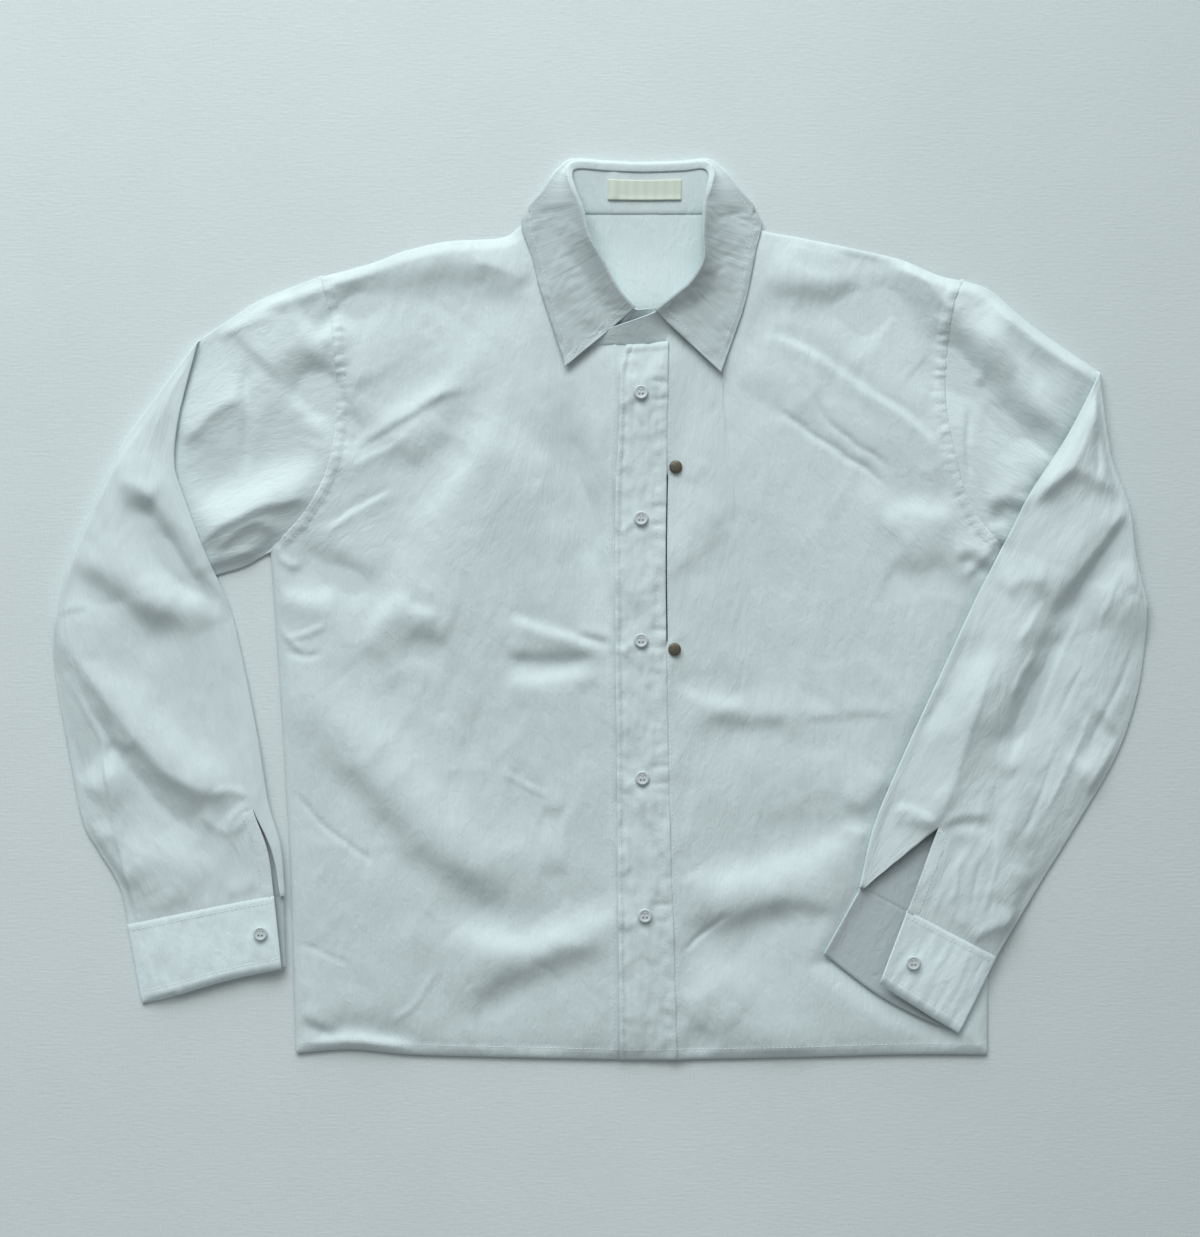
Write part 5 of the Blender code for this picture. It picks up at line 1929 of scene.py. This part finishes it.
    def binding(self, rings: Array) -> Piece:
        """Makes the strip sewn along the slit, on the sleeve's own points.

        Args:
            rings: the rings of the sleeve's points.

        Returns:
            The piece.
        """
        edge = rings[-(self.slit_rings + 1):, :self.main_columns // 3]
        run = np.linalg.norm(edge - edge[:, :1], axis=-1)
        share = np.linspace(0, 1, self.binding_columns + 1) * self.binding_width
        strip = np.stack([between_posts(share, away, row) for away, row in zip(run, edge)])
        strip[..., 2] += self.binding_lift - 0.5 * (share / self.binding_width) ** 6
        strip[0, :, 2] -= 0.6
        strip[..., 2] += 0.25 * swell(strip[..., 0] / 5, strip[..., 1] / 6, 95)
        piece = cloth("sleeve_placket_%s_cloth" % self.name, strip, self.finishes.cotton, CLOTH * 0.8)
        dress(piece, "washed_cotton", "sleeve_placket_" + self.name)
        return piece

    def cuff(self) -> Piece:
        """Makes the cuff, a band that starts at the slit and goes once round.

        Returns:
            The piece.
        """
        plan = self.cuff_plan()
        along = np.linspace(0, 1, self.cuff_rings + 1)[:, None]
        main = mix(*self.rows.cuff_slit, along)
        over, under, _ = self.shares(main, main)

        points = plan(over, self.reached(over, along))
        points[0, :, 1] += 1.6
        x, y = points[..., 0], points[..., 1]
        run, across = np.broadcast_to(along * self.cuff_length, over.shape), over * self.width
        lift = plain_lift(x, y) * mix(1.0, 0.55, ease((along - 0.93) / 0.07))
        wave = 0.6 * swell(across / 6.5, run / 24, 41) + 0.9 * swell(across / 26, run / 40, 42)
        near_seam, near_edge = self.cuff_rows
        stitched = bell(run - near_edge, 4) + bell(run - 4, 4)
        pucker = 0.4 * swell(across / 4.5, run / 12, 43) * stitched
        sewn = sum(bell(run - row, self.groove_width) for row in (near_edge, near_seam))
        calm = ease(np.minimum(over - main, 1 - over) * 14) * (1 - np.exp(-run / 6))
        calm = calm * (1 - np.exp((run - self.cuff_length - 1) / 4))
        height = support_height(x, y) + (CUFF_CLOTH - CLOTH) / 2 + lift
        height = height + (wave + pucker - self.groove * sewn) * calm
        height += self.free_edge * np.exp(-(over - main) * self.width / 16) + 0.25 * np.exp(-run / 2.5)
        top = with_height(points, height)

        points = plan(under, along)
        points[0, :, 1] += 3.0
        height = support_height(points[..., 0], points[..., 1]) - (CUFF_CLOTH - CLOTH) / 2
        height[0] -= 0.15
        rings = self.wrap(top, with_height(points, height), None)
        # The cuff's outside is painted whiter, partly for its doubled cloth and partly as painted light; its
        # inside is painted darker as shade.
        piece = cloth(
            "cuff_%s_cloth" % self.name, rings, self.finishes.double_lit_cotton, CUFF_CLOTH,
            inner=self.finishes.inner_shade_cotton, turned=self.rows.outward > 0,
        )
        dress(piece, "washed_cotton", "cuff_" + self.name)
        return piece

    def stitch_lines(self) -> list[Array]:
        """Gives the rows of stitches along the cuff's seam and edge, and along the slit's binding.

        Returns:
            The rows of points.
        """
        start, end = self.rows.cuff_slit
        share = np.linspace(0, 0.985, 140)
        plan, lines = self.cuff_plan(), []
        for along in self.cuff_sewn:
            across = mix(mix(start, end, along), 1.0, share)
            lines.append(plan(across, self.reached(across, along)))
        low = self.lower_plan()
        places = np.linspace(self.rows.slit[0].along, 0.995, 60)
        main = self.slit_shares(places)[0][:, 0]
        edge = low(main, places)
        inward = low(main + 0.05, places) - edge
        inward /= np.linalg.norm(inward, axis=1, keepdims=True)
        lines += [edge + inward * away for away in (1.8, self.binding_width - 1.6)]
        return lines

    def build(self) -> tuple[Piece, ...]:
        """Builds the sleeve, its binding and its cuff, and gives the three."""
        piece, rings = self.tube()
        return piece, self.binding(rings), self.cuff()


# Collar


@dataclass
class Collar:
    """The collar's fall and stand, and the bare label sewn inside."""

    finishes: Finishes
    between: int = 14
    lip_columns: int = 7
    leaf_columns: int = 34
    tail_columns: int = 16
    stand_columns: int = 26
    drop: float = 2.3
    tail_share: float = 0.8
    clear: float = 1.05
    front_lift: float = 4.6
    tuck_radius: float = 1.8
    wrap: float = 0.9
    lip_drop: float = 0.3
    blend: float = 1.6
    stitch_inset: float = 6.0
    stand_below: float = 1.1
    back_stand: float = 2.1
    front_stand: float = 0.5
    tucked_seam: float = 1.1
    lip_tuck: float = 0.25
    crest_reach: float = 0.8
    curl: float = 5.0
    front_length: float = 15.0
    sewn_length: float = 112.0
    section_run: float = 1.3
    stand_fold: tuple[float, float, float] = (11.0, 3.6, 0.8)
    label_gap: float = 0.3
    label_fold: float = 0.45

    def sections(self) -> Array:
        """Gives the fall's sections, closely spaced by smooth curves."""
        return smooth(np.array(COLLAR_SECTIONS, float), self.between)

    def runs(self, rows: Array) -> Array:
        """Gives how far along the crest each section lies."""
        return run_along(rows[:, :2])[:, None]

    def fall(self) -> Piece:
        """Makes the fall from its lip over the crest to its free edge.

        Returns:
            The piece.
        """
        rows = self.sections()
        x, y, z, heading, reach, under, lip = rows.T[:7, :, None]
        under, lip = np.maximum(under, 0.0), np.maximum(lip, 0.0)
        tucked = ease(under / 8.0)
        turn = np.radians(heading)
        low = mix(FRONT_EDGE + self.clear, FLOOR_LAYER + 2 * self.tuck_radius, tucked)
        end = mix(reach * self.tail_share, reach - self.tuck_radius, tucked)

        share = np.linspace(0, 1, self.lip_columns + 1)[:-1]
        lip_away = mix(-lip - self.wrap, self.crest_reach, share)
        lip_height = z - (self.lip_drop + 0.04 * lip) * (1 - share) ** 2
        lip_height = lip_height - self.lip_tuck * np.exp(-share * self.curl) * ease(lip / 3)
        share = np.linspace(0, 1, self.leaf_columns + 1)
        leaf_away = mix(self.crest_reach, end, share)
        leaf_height = low + (z - low) * (1 - share) ** self.drop
        share = np.linspace(0, 1, self.tail_columns + 1)[1:]
        arc = np.minimum(share * 2, 1.0) * math.pi
        back = np.maximum(share * 2 - 1, 0.0)
        curl_away = end + self.tuck_radius * np.sin(arc) - back * np.maximum(under - self.tuck_radius, 0.0)
        curl_height = low - self.tuck_radius * (1 - np.cos(arc))
        tail_away = mix(mix(end, reach, share), curl_away, tucked)
        tail_height = mix(low + 0 * share, curl_height, tucked)

        away = np.concatenate([lip_away, leaf_away, tail_away], axis=1)
        height = np.concatenate([lip_height, leaf_height, tail_height], axis=1)
        px, py = x + away * np.cos(turn), y + away * np.sin(turn)
        run = self.runs(rows)
        front = np.minimum(run, run[-1] - run)
        body = body_surface(px, py) + self.clear + self.front_lift * np.exp(-front / self.front_length)
        on_body = (height + body + np.sqrt((height - body) ** 2 + self.blend ** 2)) / 2
        height = np.where(is_inside(SILHOUETTE, px, py), mix(on_body, height, tucked), height)
        height = height + self.leaf_relief(run, away, reach) * (1 - tucked)
        # The fall takes a cotton painted darker as shade, with its plain colour back at the back of the neck.
        piece = cloth(
            "collar_cloth", np.stack([px, py, height], axis=-1), self.finishes.collar_shade_cotton, CLOTH * 0.9,
            crosswise=True,
        )
        dress(piece, "washed_cotton", "collar")
        return piece

    def leaf_relief(self, run: Array, away: Array, reach: Array) -> Array:
        """Gives the crinkles across a leaf and the puckered edge that is stitched down.

        Args:
            run: how far along the crest.
            away: how far from the crest.
            reach: how far from the crest the free edge lies.

        Returns:
            The relief in millimetres.
        """
        edge = np.minimum(reach - away, np.minimum(run, run[-1] - run))
        waved = run + 4.5 * swell(run / 22, away / 13, 24) + 0.12 * away
        crinkle = 0.42 * swell(waved / 4.2, away / 13, 21) + 0.24 * swell(waved / 2.6, away / 8, 22)
        crinkle = crinkle + 0.4 * (0.4 - np.abs(swell(waved / 7, away / 12, 26)))
        broad = 2.0 * swell(run / 25, away / 22, 23)
        sewn = 0.35 * ease((8.5 - edge) / 2) - 0.3 * bell(edge - self.stitch_inset, 0.9)
        pucker = 0.32 * swell(waved / 3.4, edge / 9, 25) * bell(edge - 5, 4)
        calm = ease((away - 1) / 5) * ease(edge / 3 + 0.35)
        return calm * np.maximum(crinkle + broad + pucker, -0.7) + sewn * ease(away / 4)

    def edge_line(self, left: bool) -> Array:
        """Gives the row of stitches inside a leaf's front and outer edges.

        Args:
            left: whether it is the wearer's left leaf.

        Returns:
            The line's points (x, y).
        """
        rows = self.sections()
        run = self.runs(rows)[:, 0]
        inset = self.stitch_inset
        if left:
            rows, run = rows[::-1], run[-1] - run[::-1]
        first = int(np.searchsorted(run, inset))
        last = int(np.searchsorted(run, self.sewn_length))
        down = [(first, away) for away in np.linspace(3, rows[first, 4] - inset, 30)]
        up = [(k, rows[k, 4] - inset) for k in range(first, last)]
        index, away = np.array(down + up).T
        posts = rows[index.astype(int)]
        turn = np.radians(posts[:, 3])
        return posts[:, :2] + np.stack([away * np.cos(turn), away * np.sin(turn)], axis=1)

    def stand_points(self, rows: Array) -> Array:
        """Gives the middle of the stand from the neck seam up to the fall.

        Args:
            rows: the collar's sections, a row each.

        Returns:
            The points, section by section.
        """
        x, y, z, heading, _, _, lip, neck_x, neck_y = rows.T[:, :, None]
        turn = np.radians(heading)
        inside = 1.0 - lip
        top = np.concatenate([x + inside * np.cos(turn), y + inside * np.sin(turn)], axis=1)
        at_back = ease((neck_y - 300) / 8)
        neck = np.concatenate([neck_x, neck_y - 1.8 * at_back], axis=1)
        high = z - self.stand_below - 0.10 * lip
        front = body_surface(neck_x, neck_y) + self.front_stand
        low = mix(front, self.back_stand, ease((neck_y - 306) / 3))
        share = self.posts()
        plan = mix(neck[:, None, :], top[:, None, :], share[None, :, None])
        at_end = ease((55 - neck_x) / 12) * ease((226 - neck_y) / 8)
        bent = mix(2.2, 1.0, np.maximum(at_back, at_end))
        tucked = self.tucked_seam * np.exp(-share * 25) * mix(1.0, 0.7, at_back)
        return with_height(plan, mix(low, high, share ** bent) - tucked)

    def posts(self) -> Array:
        """Gives the shares up the stand at which its columns lie, closer at its two edges."""
        return (1 - np.cos(np.linspace(0, math.pi, self.stand_columns + 1))) / 2

    def stand(self) -> tuple[Piece, Array]:
        """Makes the stand.

        Returns:
            The piece and its middle points, from the right front to the left.
        """
        rows = np.array((STAND_END_RIGHT, *COLLAR_SECTIONS, STAND_END_LEFT), float)
        rows[0, 3], rows[-1, 3] = rows[1, 3], rows[-2, 3]
        points = self.stand_points(smooth(rows, self.between))
        points[:self.between, :, 2] -= 1.2
        run = np.arange(len(points))[:, None] * self.section_run
        share = np.linspace(0, 1, points.shape[1])
        points[..., 2] += 0.3 * swell(run / 16, share * 1.3, 31) * np.sin(share * math.pi)
        place, width, height = self.stand_fold
        fold = bell(points[..., 0] - place, width) * ease(points[..., 1] - 320)
        points[..., 2] += height * fold * np.sin(share * math.pi)
        piece = cloth("collar_stand_cloth", points, self.finishes.cotton, crosswise=True)
        dress(piece, "washed_cotton", "collar_stand")
        return piece, points

    def label(self, stand: Array) -> Piece:
        """Makes the label on the stand's own points, with its lower edge folded.

        Args:
            stand: the stand's points.

        Returns:
            The piece.
        """
        first, last = (1 + index for index in LABEL_SECTIONS)
        rows = stand[first * self.between:last * self.between + 1]
        share = np.linspace(*LABEL_SPAN, LABEL_ROWS)
        points = np.stack([between_posts(share, self.posts(), row) for row in rows])
        points[..., 2] += (CLOTH + LABEL_CLOTH) / 2 + self.label_gap
        points[..., 2] += self.label_fold * bell(np.arange(LABEL_ROWS), 2.2)
        ends = np.minimum(np.arange(len(points)), len(points) - 1 - np.arange(len(points)))[:, None]
        points[..., 2] -= 0.3 * bell(ends, 1.2)
        piece = cloth("neck_label_woven", points, self.finishes.label, LABEL_CLOTH)
        dress(piece, "woven_label", "neck_label")
        return piece


# Trims


def thread_curve(name: str, radius: float, resolution: int) -> bpy.types.Curve:
    """Makes an empty curve with the round section of a thread, its radius in millimetres.

    Args:
        name: the curve's name.
        radius: the thread's radius, in millimetres.
        resolution: how finely its round is followed.

    Returns:
        The curve.
    """
    curve = bpy.data.curves.new(name, "CURVE")
    curve.dimensions = "3D"
    curve.bevel_depth = radius * METRE
    curve.bevel_resolution = resolution
    curve.use_fill_caps = True
    return curve


def run_thread(curve: bpy.types.Curve, points: Sequence[Sequence[float]]) -> None:
    """Runs a thread through points in millimetres.

    Args:
        curve: the curve that takes the thread.
        points: the points, in millimetres.
    """
    spline = curve.splines.new("POLY")
    spline.points.add(len(points) - 1)
    for point, place in zip(spline.points, points):
        point.co = (*(Vector(place) * METRE), 1.0)


def sew_in(curve: bpy.types.Curve, material: Material) -> Piece:
    """Puts a thread curve in the scene as a piece.

    Args:
        curve: the thread's curve.
        material: its finish.

    Returns:
        The piece.
    """
    curve.materials.append(material)
    piece = bpy.data.objects.new(curve.name, curve)
    bpy.context.scene.collection.objects.link(piece)
    return dress(piece, "washed_cotton")


@dataclass
class Fastenings:
    """The four-hole buttons and the two rivets."""

    finishes: Finishes
    radius: float = 5.55
    height: float = 2.6
    rim: float = 1.3
    hole_radius: float = 0.75
    hole_spread: float = 1.35
    rivet_radius: float = 5.0
    rivet_height: float = 2.4
    segments: int = 40
    gap: float = 0.3
    thread_radius: float = 0.34
    thread_top: float = 0.55
    thread_foot: float = 2.4
    seat_radius: float = 4.0

    def turned(self, profile: Line) -> bmesh.types.BMesh:
        """Turns a half section (radius, height) round Z.

        Args:
            profile: the half section, in millimetres.

        Returns:
            The turned mesh.
        """
        bm = bmesh.new()
        verts = [bm.verts.new(Vector((r, 0.0, z)) * METRE) for r, z in profile]
        edges = [bm.edges.new(pair) for pair in zip(verts, verts[1:])]
        bmesh.ops.spin(
            bm, geom=verts + edges, cent=(0, 0, 0), axis=(0, 0, 1), angle=2 * math.pi,
            steps=self.segments, use_merge=True,
        )
        bmesh.ops.remove_doubles(bm, verts=bm.verts, dist=1e-6)
        bmesh.ops.recalc_face_normals(bm, faces=bm.faces)
        return bm

    def button_mesh(self) -> Mesh:
        """Makes a button with a round rim, a dished middle and four drilled holes.

        Returns:
            The mesh.
        """
        r, h = self.radius, self.height
        well = r - self.rim - 0.7
        profile = (
            (0, 0), (r - 1.0, 0), (r - 0.5, 0.15), (r - 0.1, 0.5), (r, 1.0), (r - 0.08, h - 0.8),
            (r - 0.4, h - 0.35), (r - 0.9, h - 0.15), (r - self.rim, h - 0.15), (well + 0.3, h - 0.4),
            (well - 0.2, h - 0.55), (well - 0.9, h - 0.6), (0, h - 0.6),
        )
        body = bpy.data.meshes.new("button")
        bm = self.turned(profile)
        bm.to_mesh(body)
        bm.free()
        drill = bpy.data.meshes.new("drill")
        bm = bmesh.new()
        for dx, dy in ((1, 1), (-1, 1), (-1, -1), (1, -1)):
            made = bmesh.ops.create_cone(
                bm, cap_ends=True, segments=14, radius1=self.hole_radius * METRE,
                radius2=self.hole_radius * METRE, depth=0.01,
            )
            bmesh.ops.translate(
                bm, verts=made["verts"], vec=Vector((dx, dy, 0)) * self.hole_spread * METRE,
            )
        bm.to_mesh(drill)
        bm.free()
        blank, cutter = (bpy.data.objects.new(mesh.name, mesh) for mesh in (body, drill))
        for item in (blank, cutter):
            bpy.context.scene.collection.objects.link(item)
        cut = blank.modifiers.new("Holes", "BOOLEAN")
        cut.operation = "DIFFERENCE"
        cut.object = cutter
        cut.solver = "EXACT"
        graph = bpy.context.evaluated_depsgraph_get()
        mesh = bpy.data.meshes.new_from_object(blank.evaluated_get(graph))
        for item in (blank, cutter):
            bpy.data.objects.remove(item, do_unlink=True)
        for old in (body, drill):
            bpy.data.meshes.remove(old)
        return mesh

    def seated(
        self, name: str, mesh: Mesh, place: tuple[float, float], surface: Surface,
        material: Material, slot: str, node: str,
    ) -> tuple[Piece, float]:
        """Seats a copy of a round mesh on the cloth under it.

        Args:
            name: the piece's name.
            mesh: the mesh round Z, its base at 0.
            place: where it goes, in millimetres.
            surface: what carries it.
            material: its finish.
            slot: its finish's slot, passed on to dress, which does not use it.
            node: the solid that it replaces.

        Returns:
            The piece and the height of its base in millimetres.
        """
        x, y = place
        reach = self.seat_radius
        ring = [(x + reach * math.cos(k), y + reach * math.sin(k)) for k in np.linspace(0, 2 * math.pi, 12)]
        base = max(surface.height(*there) for there in [(x, y), *ring]) + self.gap
        copy = mesh.copy()
        copy.transform(Matrix.Translation(Vector((x, y, base)) * METRE))
        piece = add_object(name, copy, material)
        piece.data.set_sharp_from_angle(angle=math.radians(40))
        return dress(piece, slot, node), base

    def sewn(self, name: str, place: tuple[float, float], base: float) -> Piece:
        """Makes the thread through a button's holes, two bars side by side and the shank below.

        Args:
            name: the thread's name.
            place: the button's middle.
            base: the height that the button rests on.

        Returns:
            The piece.
        """
        curve = thread_curve(name, self.thread_radius, 1)
        x, y = place
        top, out = base + self.height - self.thread_top, self.hole_spread
        for side in (-out, out):
            posts = (
                (side, -out, -self.thread_foot), (side, -out, -0.3), (side, -0.6, 0.0), (side, 0.6, 0.0),
                (side, out, -0.3), (side, out, -self.thread_foot),
            )
            run_thread(curve, [(x + px, y + py, top + pz) for px, py, pz in posts])
        return sew_in(curve, self.finishes.thread)

    def build(
        self, placket: Piece, front: Piece, cuffs: dict[str, Piece],
    ) -> None:
        """Seats the buttons on the placket and the cuffs, and the rivets beside the slit.

        Args:
            placket: the placket.
            front: the left front.
            cuffs: the two cuffs.
        """
        mesh = self.button_mesh()
        places = {"button_%d" % number: (place, placket) for number, place in enumerate(PLACKET_BUTTONS, 1)}
        for side, carrier in cuffs.items():
            places["cuff_button_" + side] = (CUFF_BUTTONS[side], carrier)
        for node, (place, carrier) in places.items():
            _, base = self.seated(
                node + "_four_hole", mesh, place, Surface(carrier), self.finishes.button, "button_white",
                node,
            )
            self.sewn(node + "_thread", place, base)

        r, h = self.rivet_radius, self.rivet_height
        dome = [(0.9 * r * math.sin(t), h - 0.85 * (1 - math.cos(t * 0.9))) for t in np.linspace(0, 1.45, 9)]
        profile = ((0, 0), (r - 0.3, 0), (r, 0.4), (r, 0.9), (0.95 * r, 1.3), *reversed(dome))
        rivet = bpy.data.meshes.new("rivet")
        bm = self.turned(profile)
        bm.to_mesh(rivet)
        bm.free()
        for node, place in RIVETS.items():
            self.seated(
                node + "_cap", rivet, place, Surface(placket, front), self.finishes.bronze, "aged_bronze",
                node,
            )


@dataclass
class Stitching:
    """The topstitching, each row a line of short raised threads."""

    finishes: Finishes
    pitch: float = 3.4
    length: float = 2.5
    radius: float = 0.26
    lift: float = 0.05
    sink: float = -0.3
    steepest: float = 2.5

    def rows(self, name: str, surface: Surface, lines: Sequence[Array]) -> Piece:
        """Sews rows of stitches.

        Args:
            name: the piece's name.
            surface: what is sewn.
            lines: the rows' points (x, y), in millimetres.

        Returns:
            The stitches, as one piece.
        """
        curve = thread_curve(name, self.radius, 0)
        for line in lines:
            runs = run_along(line)
            for start in np.arange(self.pitch / 2, runs[-1] - self.length, self.pitch):
                spots = start + self.length * np.array((0.0, 0.25, 0.75, 1.0))
                xs, ys = (np.interp(spots, runs, line[:, k]) for k in (0, 1))
                heights = np.array([surface.height(x, y) for x, y in zip(xs, ys)])
                if heights.min() <= 0.0 or np.ptp(heights) > self.steepest:
                    continue
                heights += (self.sink, self.lift, self.lift, self.sink)
                run_thread(curve, np.stack([xs, ys, heights], axis=-1))
        LOG.info("%s: %d stitches", name, len(curve.splines))
        return sew_in(curve, self.finishes.thread)

    def beside(self, rows: Line, hand: int, away: float, start: float = 0.0, end: float = 1.0) -> Array:
        """Gives a line beside a curve, at a distance to its left where hand is 1.

        Args:
            rows: the curve's points.
            hand: 1 for the left and -1 for the right.
            away: the distance, in millimetres.
            start: the share where it starts.
            end: the share where it ends.

        Returns:
            The line's points.
        """
        curve = Curve(rows)
        share = np.linspace(start, end, 160)
        return curve.at(share) + curve.side(share, hand) * away


@dataclass
class Studio:
    """A pale floor, a large soft light from beyond the collar, and a camera straight above."""

    camera_height: float = 2.2
    frame_height: float = 0.9649
    focus_height: float = 0.004
    centre_y: float = -0.007
    sensor: float = 24.0
    floor_colour: str = "D8E6E7"
    floor_shade: str = "CFDDDE"
    floor_painted_shade: str = "BDCBCC"
    floor_reach: float = 4.0
    thread_mm: tuple[float, float] = (1.9, 9.0)
    thread_depth: float = 0.0003
    # Painted shade: the floor turns greyer from X 0 to this many metres, by up to this share.
    shaded_by: float = 0.5
    shaded_most: float = 0.42
    window_from: tuple[float, float, float] = (-0.13, 0.95, 0.58)
    window_strength: float = 1.86
    window_spread: float = 64.0
    glow_place: tuple[float, float, float] = (-0.45, 1.85, 1.3)
    glow_size: tuple[float, float] = (1.6, 0.9)
    glow_power: float = 24.0
    fill_strength: float = 0.25

    def floor(self) -> None:
        """Lays the floor, pale board with a faint linen grain, painted greyer towards +X as shade away from
        the glow.
        """
        material, tree, shader = new_material("linen_embossed_board")
        place = add_node(tree, "ShaderNodeTexCoord").outputs["Object"]
        clouds = add_node(
            tree, "ShaderNodeTexNoise", {"Vector": place, "Scale": 9.0, "Detail": 8.0, "Roughness": 0.62},
        )
        threads = []
        for size in (self.thread_mm, self.thread_mm[::-1]):
            scale = (PER_METRE / size[0], PER_METRE / size[1], 1.0)
            placed = add_node(tree, "ShaderNodeMapping", {"Vector": place, "Scale": scale}).outputs[0]
            inputs = {"Vector": placed, "Scale": 1.0, "Detail": 2.0}
            threads.append(add_node(tree, "ShaderNodeTexNoise", inputs).outputs["Fac"])
        grain = add_node(tree, "ShaderNodeMath", {0: threads[0], 1: threads[1]}, operation="ADD")
        apart = add_node(tree, "ShaderNodeSeparateXYZ", {"Vector": place})
        # Painted shade: the floor's colour turns greyer towards +X.
        far = add_node(
            tree, "ShaderNodeMapRange",
            {"Value": apart.outputs["X"], "From Max": self.shaded_by, "To Max": self.shaded_most},
            interpolation_type="SMOOTHSTEP",
        )
        colour = add_node(
            tree, "ShaderNodeMix",
            {"Factor": clouds.outputs["Fac"], 6: linear(self.floor_shade), 7: linear(self.floor_colour)},
            data_type="RGBA",
        )
        shaded = add_node(
            tree, "ShaderNodeMix",
            {"Factor": far.outputs[0], 6: colour.outputs[2], 7: linear(self.floor_painted_shade)},
            data_type="RGBA",
        )
        bump = add_node(
            tree, "ShaderNodeBump",
            {"Height": grain.outputs[0], "Strength": 0.65, "Distance": self.thread_depth},
        )
        tree.links.new(shaded.outputs[2], shader.inputs["Base Color"])
        tree.links.new(bump.outputs[0], shader.inputs["Normal"])
        shader.inputs["Roughness"].default_value = 0.75
        bm = bmesh.new()
        bmesh.ops.create_grid(bm, x_segments=8, y_segments=8, size=self.floor_reach)
        mesh = bpy.data.meshes.new("floor")
        bm.to_mesh(mesh)
        bm.free()
        add_object("floor", mesh, material)

    def lamp(self, name: str, kind: str, place: Vector, energy: float) -> bpy.types.Light:
        """Hangs a neutral lamp that points at the middle of the floor.

        Args:
            name: the lamp's name.
            kind: Blender's kind of lamp.
            place: where it hangs, in metres.
            energy: its strength, in the unit of its kind.

        Returns:
            The lamp.
        """
        lamp = bpy.data.lights.new(name, kind)
        lamp.energy = energy
        item = bpy.data.objects.new(name, lamp)
        item.location = place
        item.rotation_euler = (-place).to_track_quat("-Z", "Y").to_euler()
        bpy.context.scene.collection.objects.link(item)
        return lamp

    def lights(self) -> None:
        """Sets the broad light from beyond the collar, its glow on the floor there and a weak fill."""
        window = self.lamp("window", "SUN", Vector(self.window_from) * 3, self.window_strength)
        window.angle = math.radians(self.window_spread)
        glow = self.lamp("glow", "AREA", Vector(self.glow_place), self.glow_power)
        glow.shape = "RECTANGLE"
        glow.size, glow.size_y = self.glow_size

        world = bpy.data.worlds.new("studio")
        world.use_nodes = True
        shade = world.node_tree.nodes["Background"]
        shade.inputs["Color"].default_value = linear("FFFFFF")
        shade.inputs["Strength"].default_value = self.fill_strength
        bpy.context.scene.world = world

    def camera(self) -> None:
        """Hangs the camera above the shirt, its frame a little wider than the sleeves."""
        lens = bpy.data.cameras.new("camera")
        lens.sensor_fit = "VERTICAL"
        lens.sensor_height = self.sensor
        lens.lens = self.sensor * (self.camera_height - self.focus_height) / self.frame_height
        item = bpy.data.objects.new("camera", lens)
        item.location = (0.0, self.centre_y, self.camera_height)
        bpy.context.scene.collection.objects.link(item)
        bpy.context.scene.camera = item
        bpy.context.scene.view_settings.view_transform = "Standard"

    def build(self) -> None:
        """Sets up the floor, the lights and the camera."""
        self.floor()
        self.lights()
        self.camera()


def main() -> None:
    """Builds the studio and the shirt, sub-assembly by sub-assembly."""
    logging.basicConfig(level=logging.INFO, format="%(name)s %(message)s")
    Studio().build()
    finishes = Finishes(
        cotton=WashedCotton().build(),
        # Cuffs: whiter, partly for the doubled cloth and partly as painted light.
        double_lit_cotton=WashedCotton("washed_cotton_two_layers", colour="E0F3F6", shade="DAEDF0").build(),
        # The collar's fall: cotton painted darker as shade, plain again at the back of the neck.
        collar_shade_cotton=WashedCotton(
            "washed_cotton_interlined", colour="B5C5C7", shade="AFBEC0", unshaded="CFE0E2",
        ).build(),
        # The side that faces into a sleeve or cuff: cotton painted darker as shade.
        inner_shade_cotton=WashedCotton("washed_cotton_inner_side", colour="B7C6C9", shade="B1C0C3").build(),
        label=WovenLabel().build(),
        button=CastResin().build(),
        bronze=AgedBronze().build(),
        thread=SewingThread().build(),
    )

    body = Body(finishes)
    body.back()
    right, strip = body.front_right()
    left = body.front_left()
    placket = body.placket(strip)

    collar = Collar(finishes)
    _, points = collar.stand()
    fall = collar.fall()
    collar.label(points)

    sleeves = {
        "right": SleeveSide(
            finishes, "right", SLEEVE_RIGHT, main_columns=84, flap_columns=8, flat=(0.43, 0.56), area=0.159,
        ),
        "left": SleeveSide(
            finishes, "left", SLEEVE_LEFT, main_columns=66, flap_columns=26, mouth=0.14, free_edge=4.0,
            flat=(0.41, 0.53), area=0.147,
        ),
    }
    tubes = {side: sleeve.build() for side, sleeve in sleeves.items()}
    Fastenings(finishes).build(placket, left, {side: pieces[-1] for side, pieces in tubes.items()})

    sewing = Stitching(finishes)
    fronts = Surface(right, left, placket)
    hem = Curve(HEM_RIGHT + HEM_LEFT).at(np.linspace(0.004, 0.996, 300)) + np.array((0.0, body.hem_depth))
    sewing.rows("hem_stitches", fronts, [hem])
    sewing.rows(
        "front_stitches", fronts,
        [
            sewing.beside(PLACKET_EDGE, 1, 2.6, 0.01, 0.985),
            sewing.beside(PLACKET_EDGE, -1, 4.2, 0.01, 0.995),
            sewing.beside(PLACKET_SEAM, -1, 7.0, 0.01, 0.985),
            sewing.beside(PLACKET_SEAM, 1, 2.0, 0.06, 0.985),
            *(
                sewing.beside(armhole, hand, away, 0.02, end)
                for armhole, hand in ((ARMHOLE_RIGHT, 1), (ARMHOLE_LEFT, -1))
                for away, end in ((1.4, 0.96), (7.0, 0.94))
            ),
        ],
    )
    sewing.rows("collar_stitches", Surface(fall), [collar.edge_line(left) for left in (False, True)])
    for side, sleeve in sleeves.items():
        sewing.rows("sleeve_%s_stitches" % side, Surface(*tubes[side]), sleeve.stitch_lines())
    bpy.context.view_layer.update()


if __name__ == "__main__":
    main()
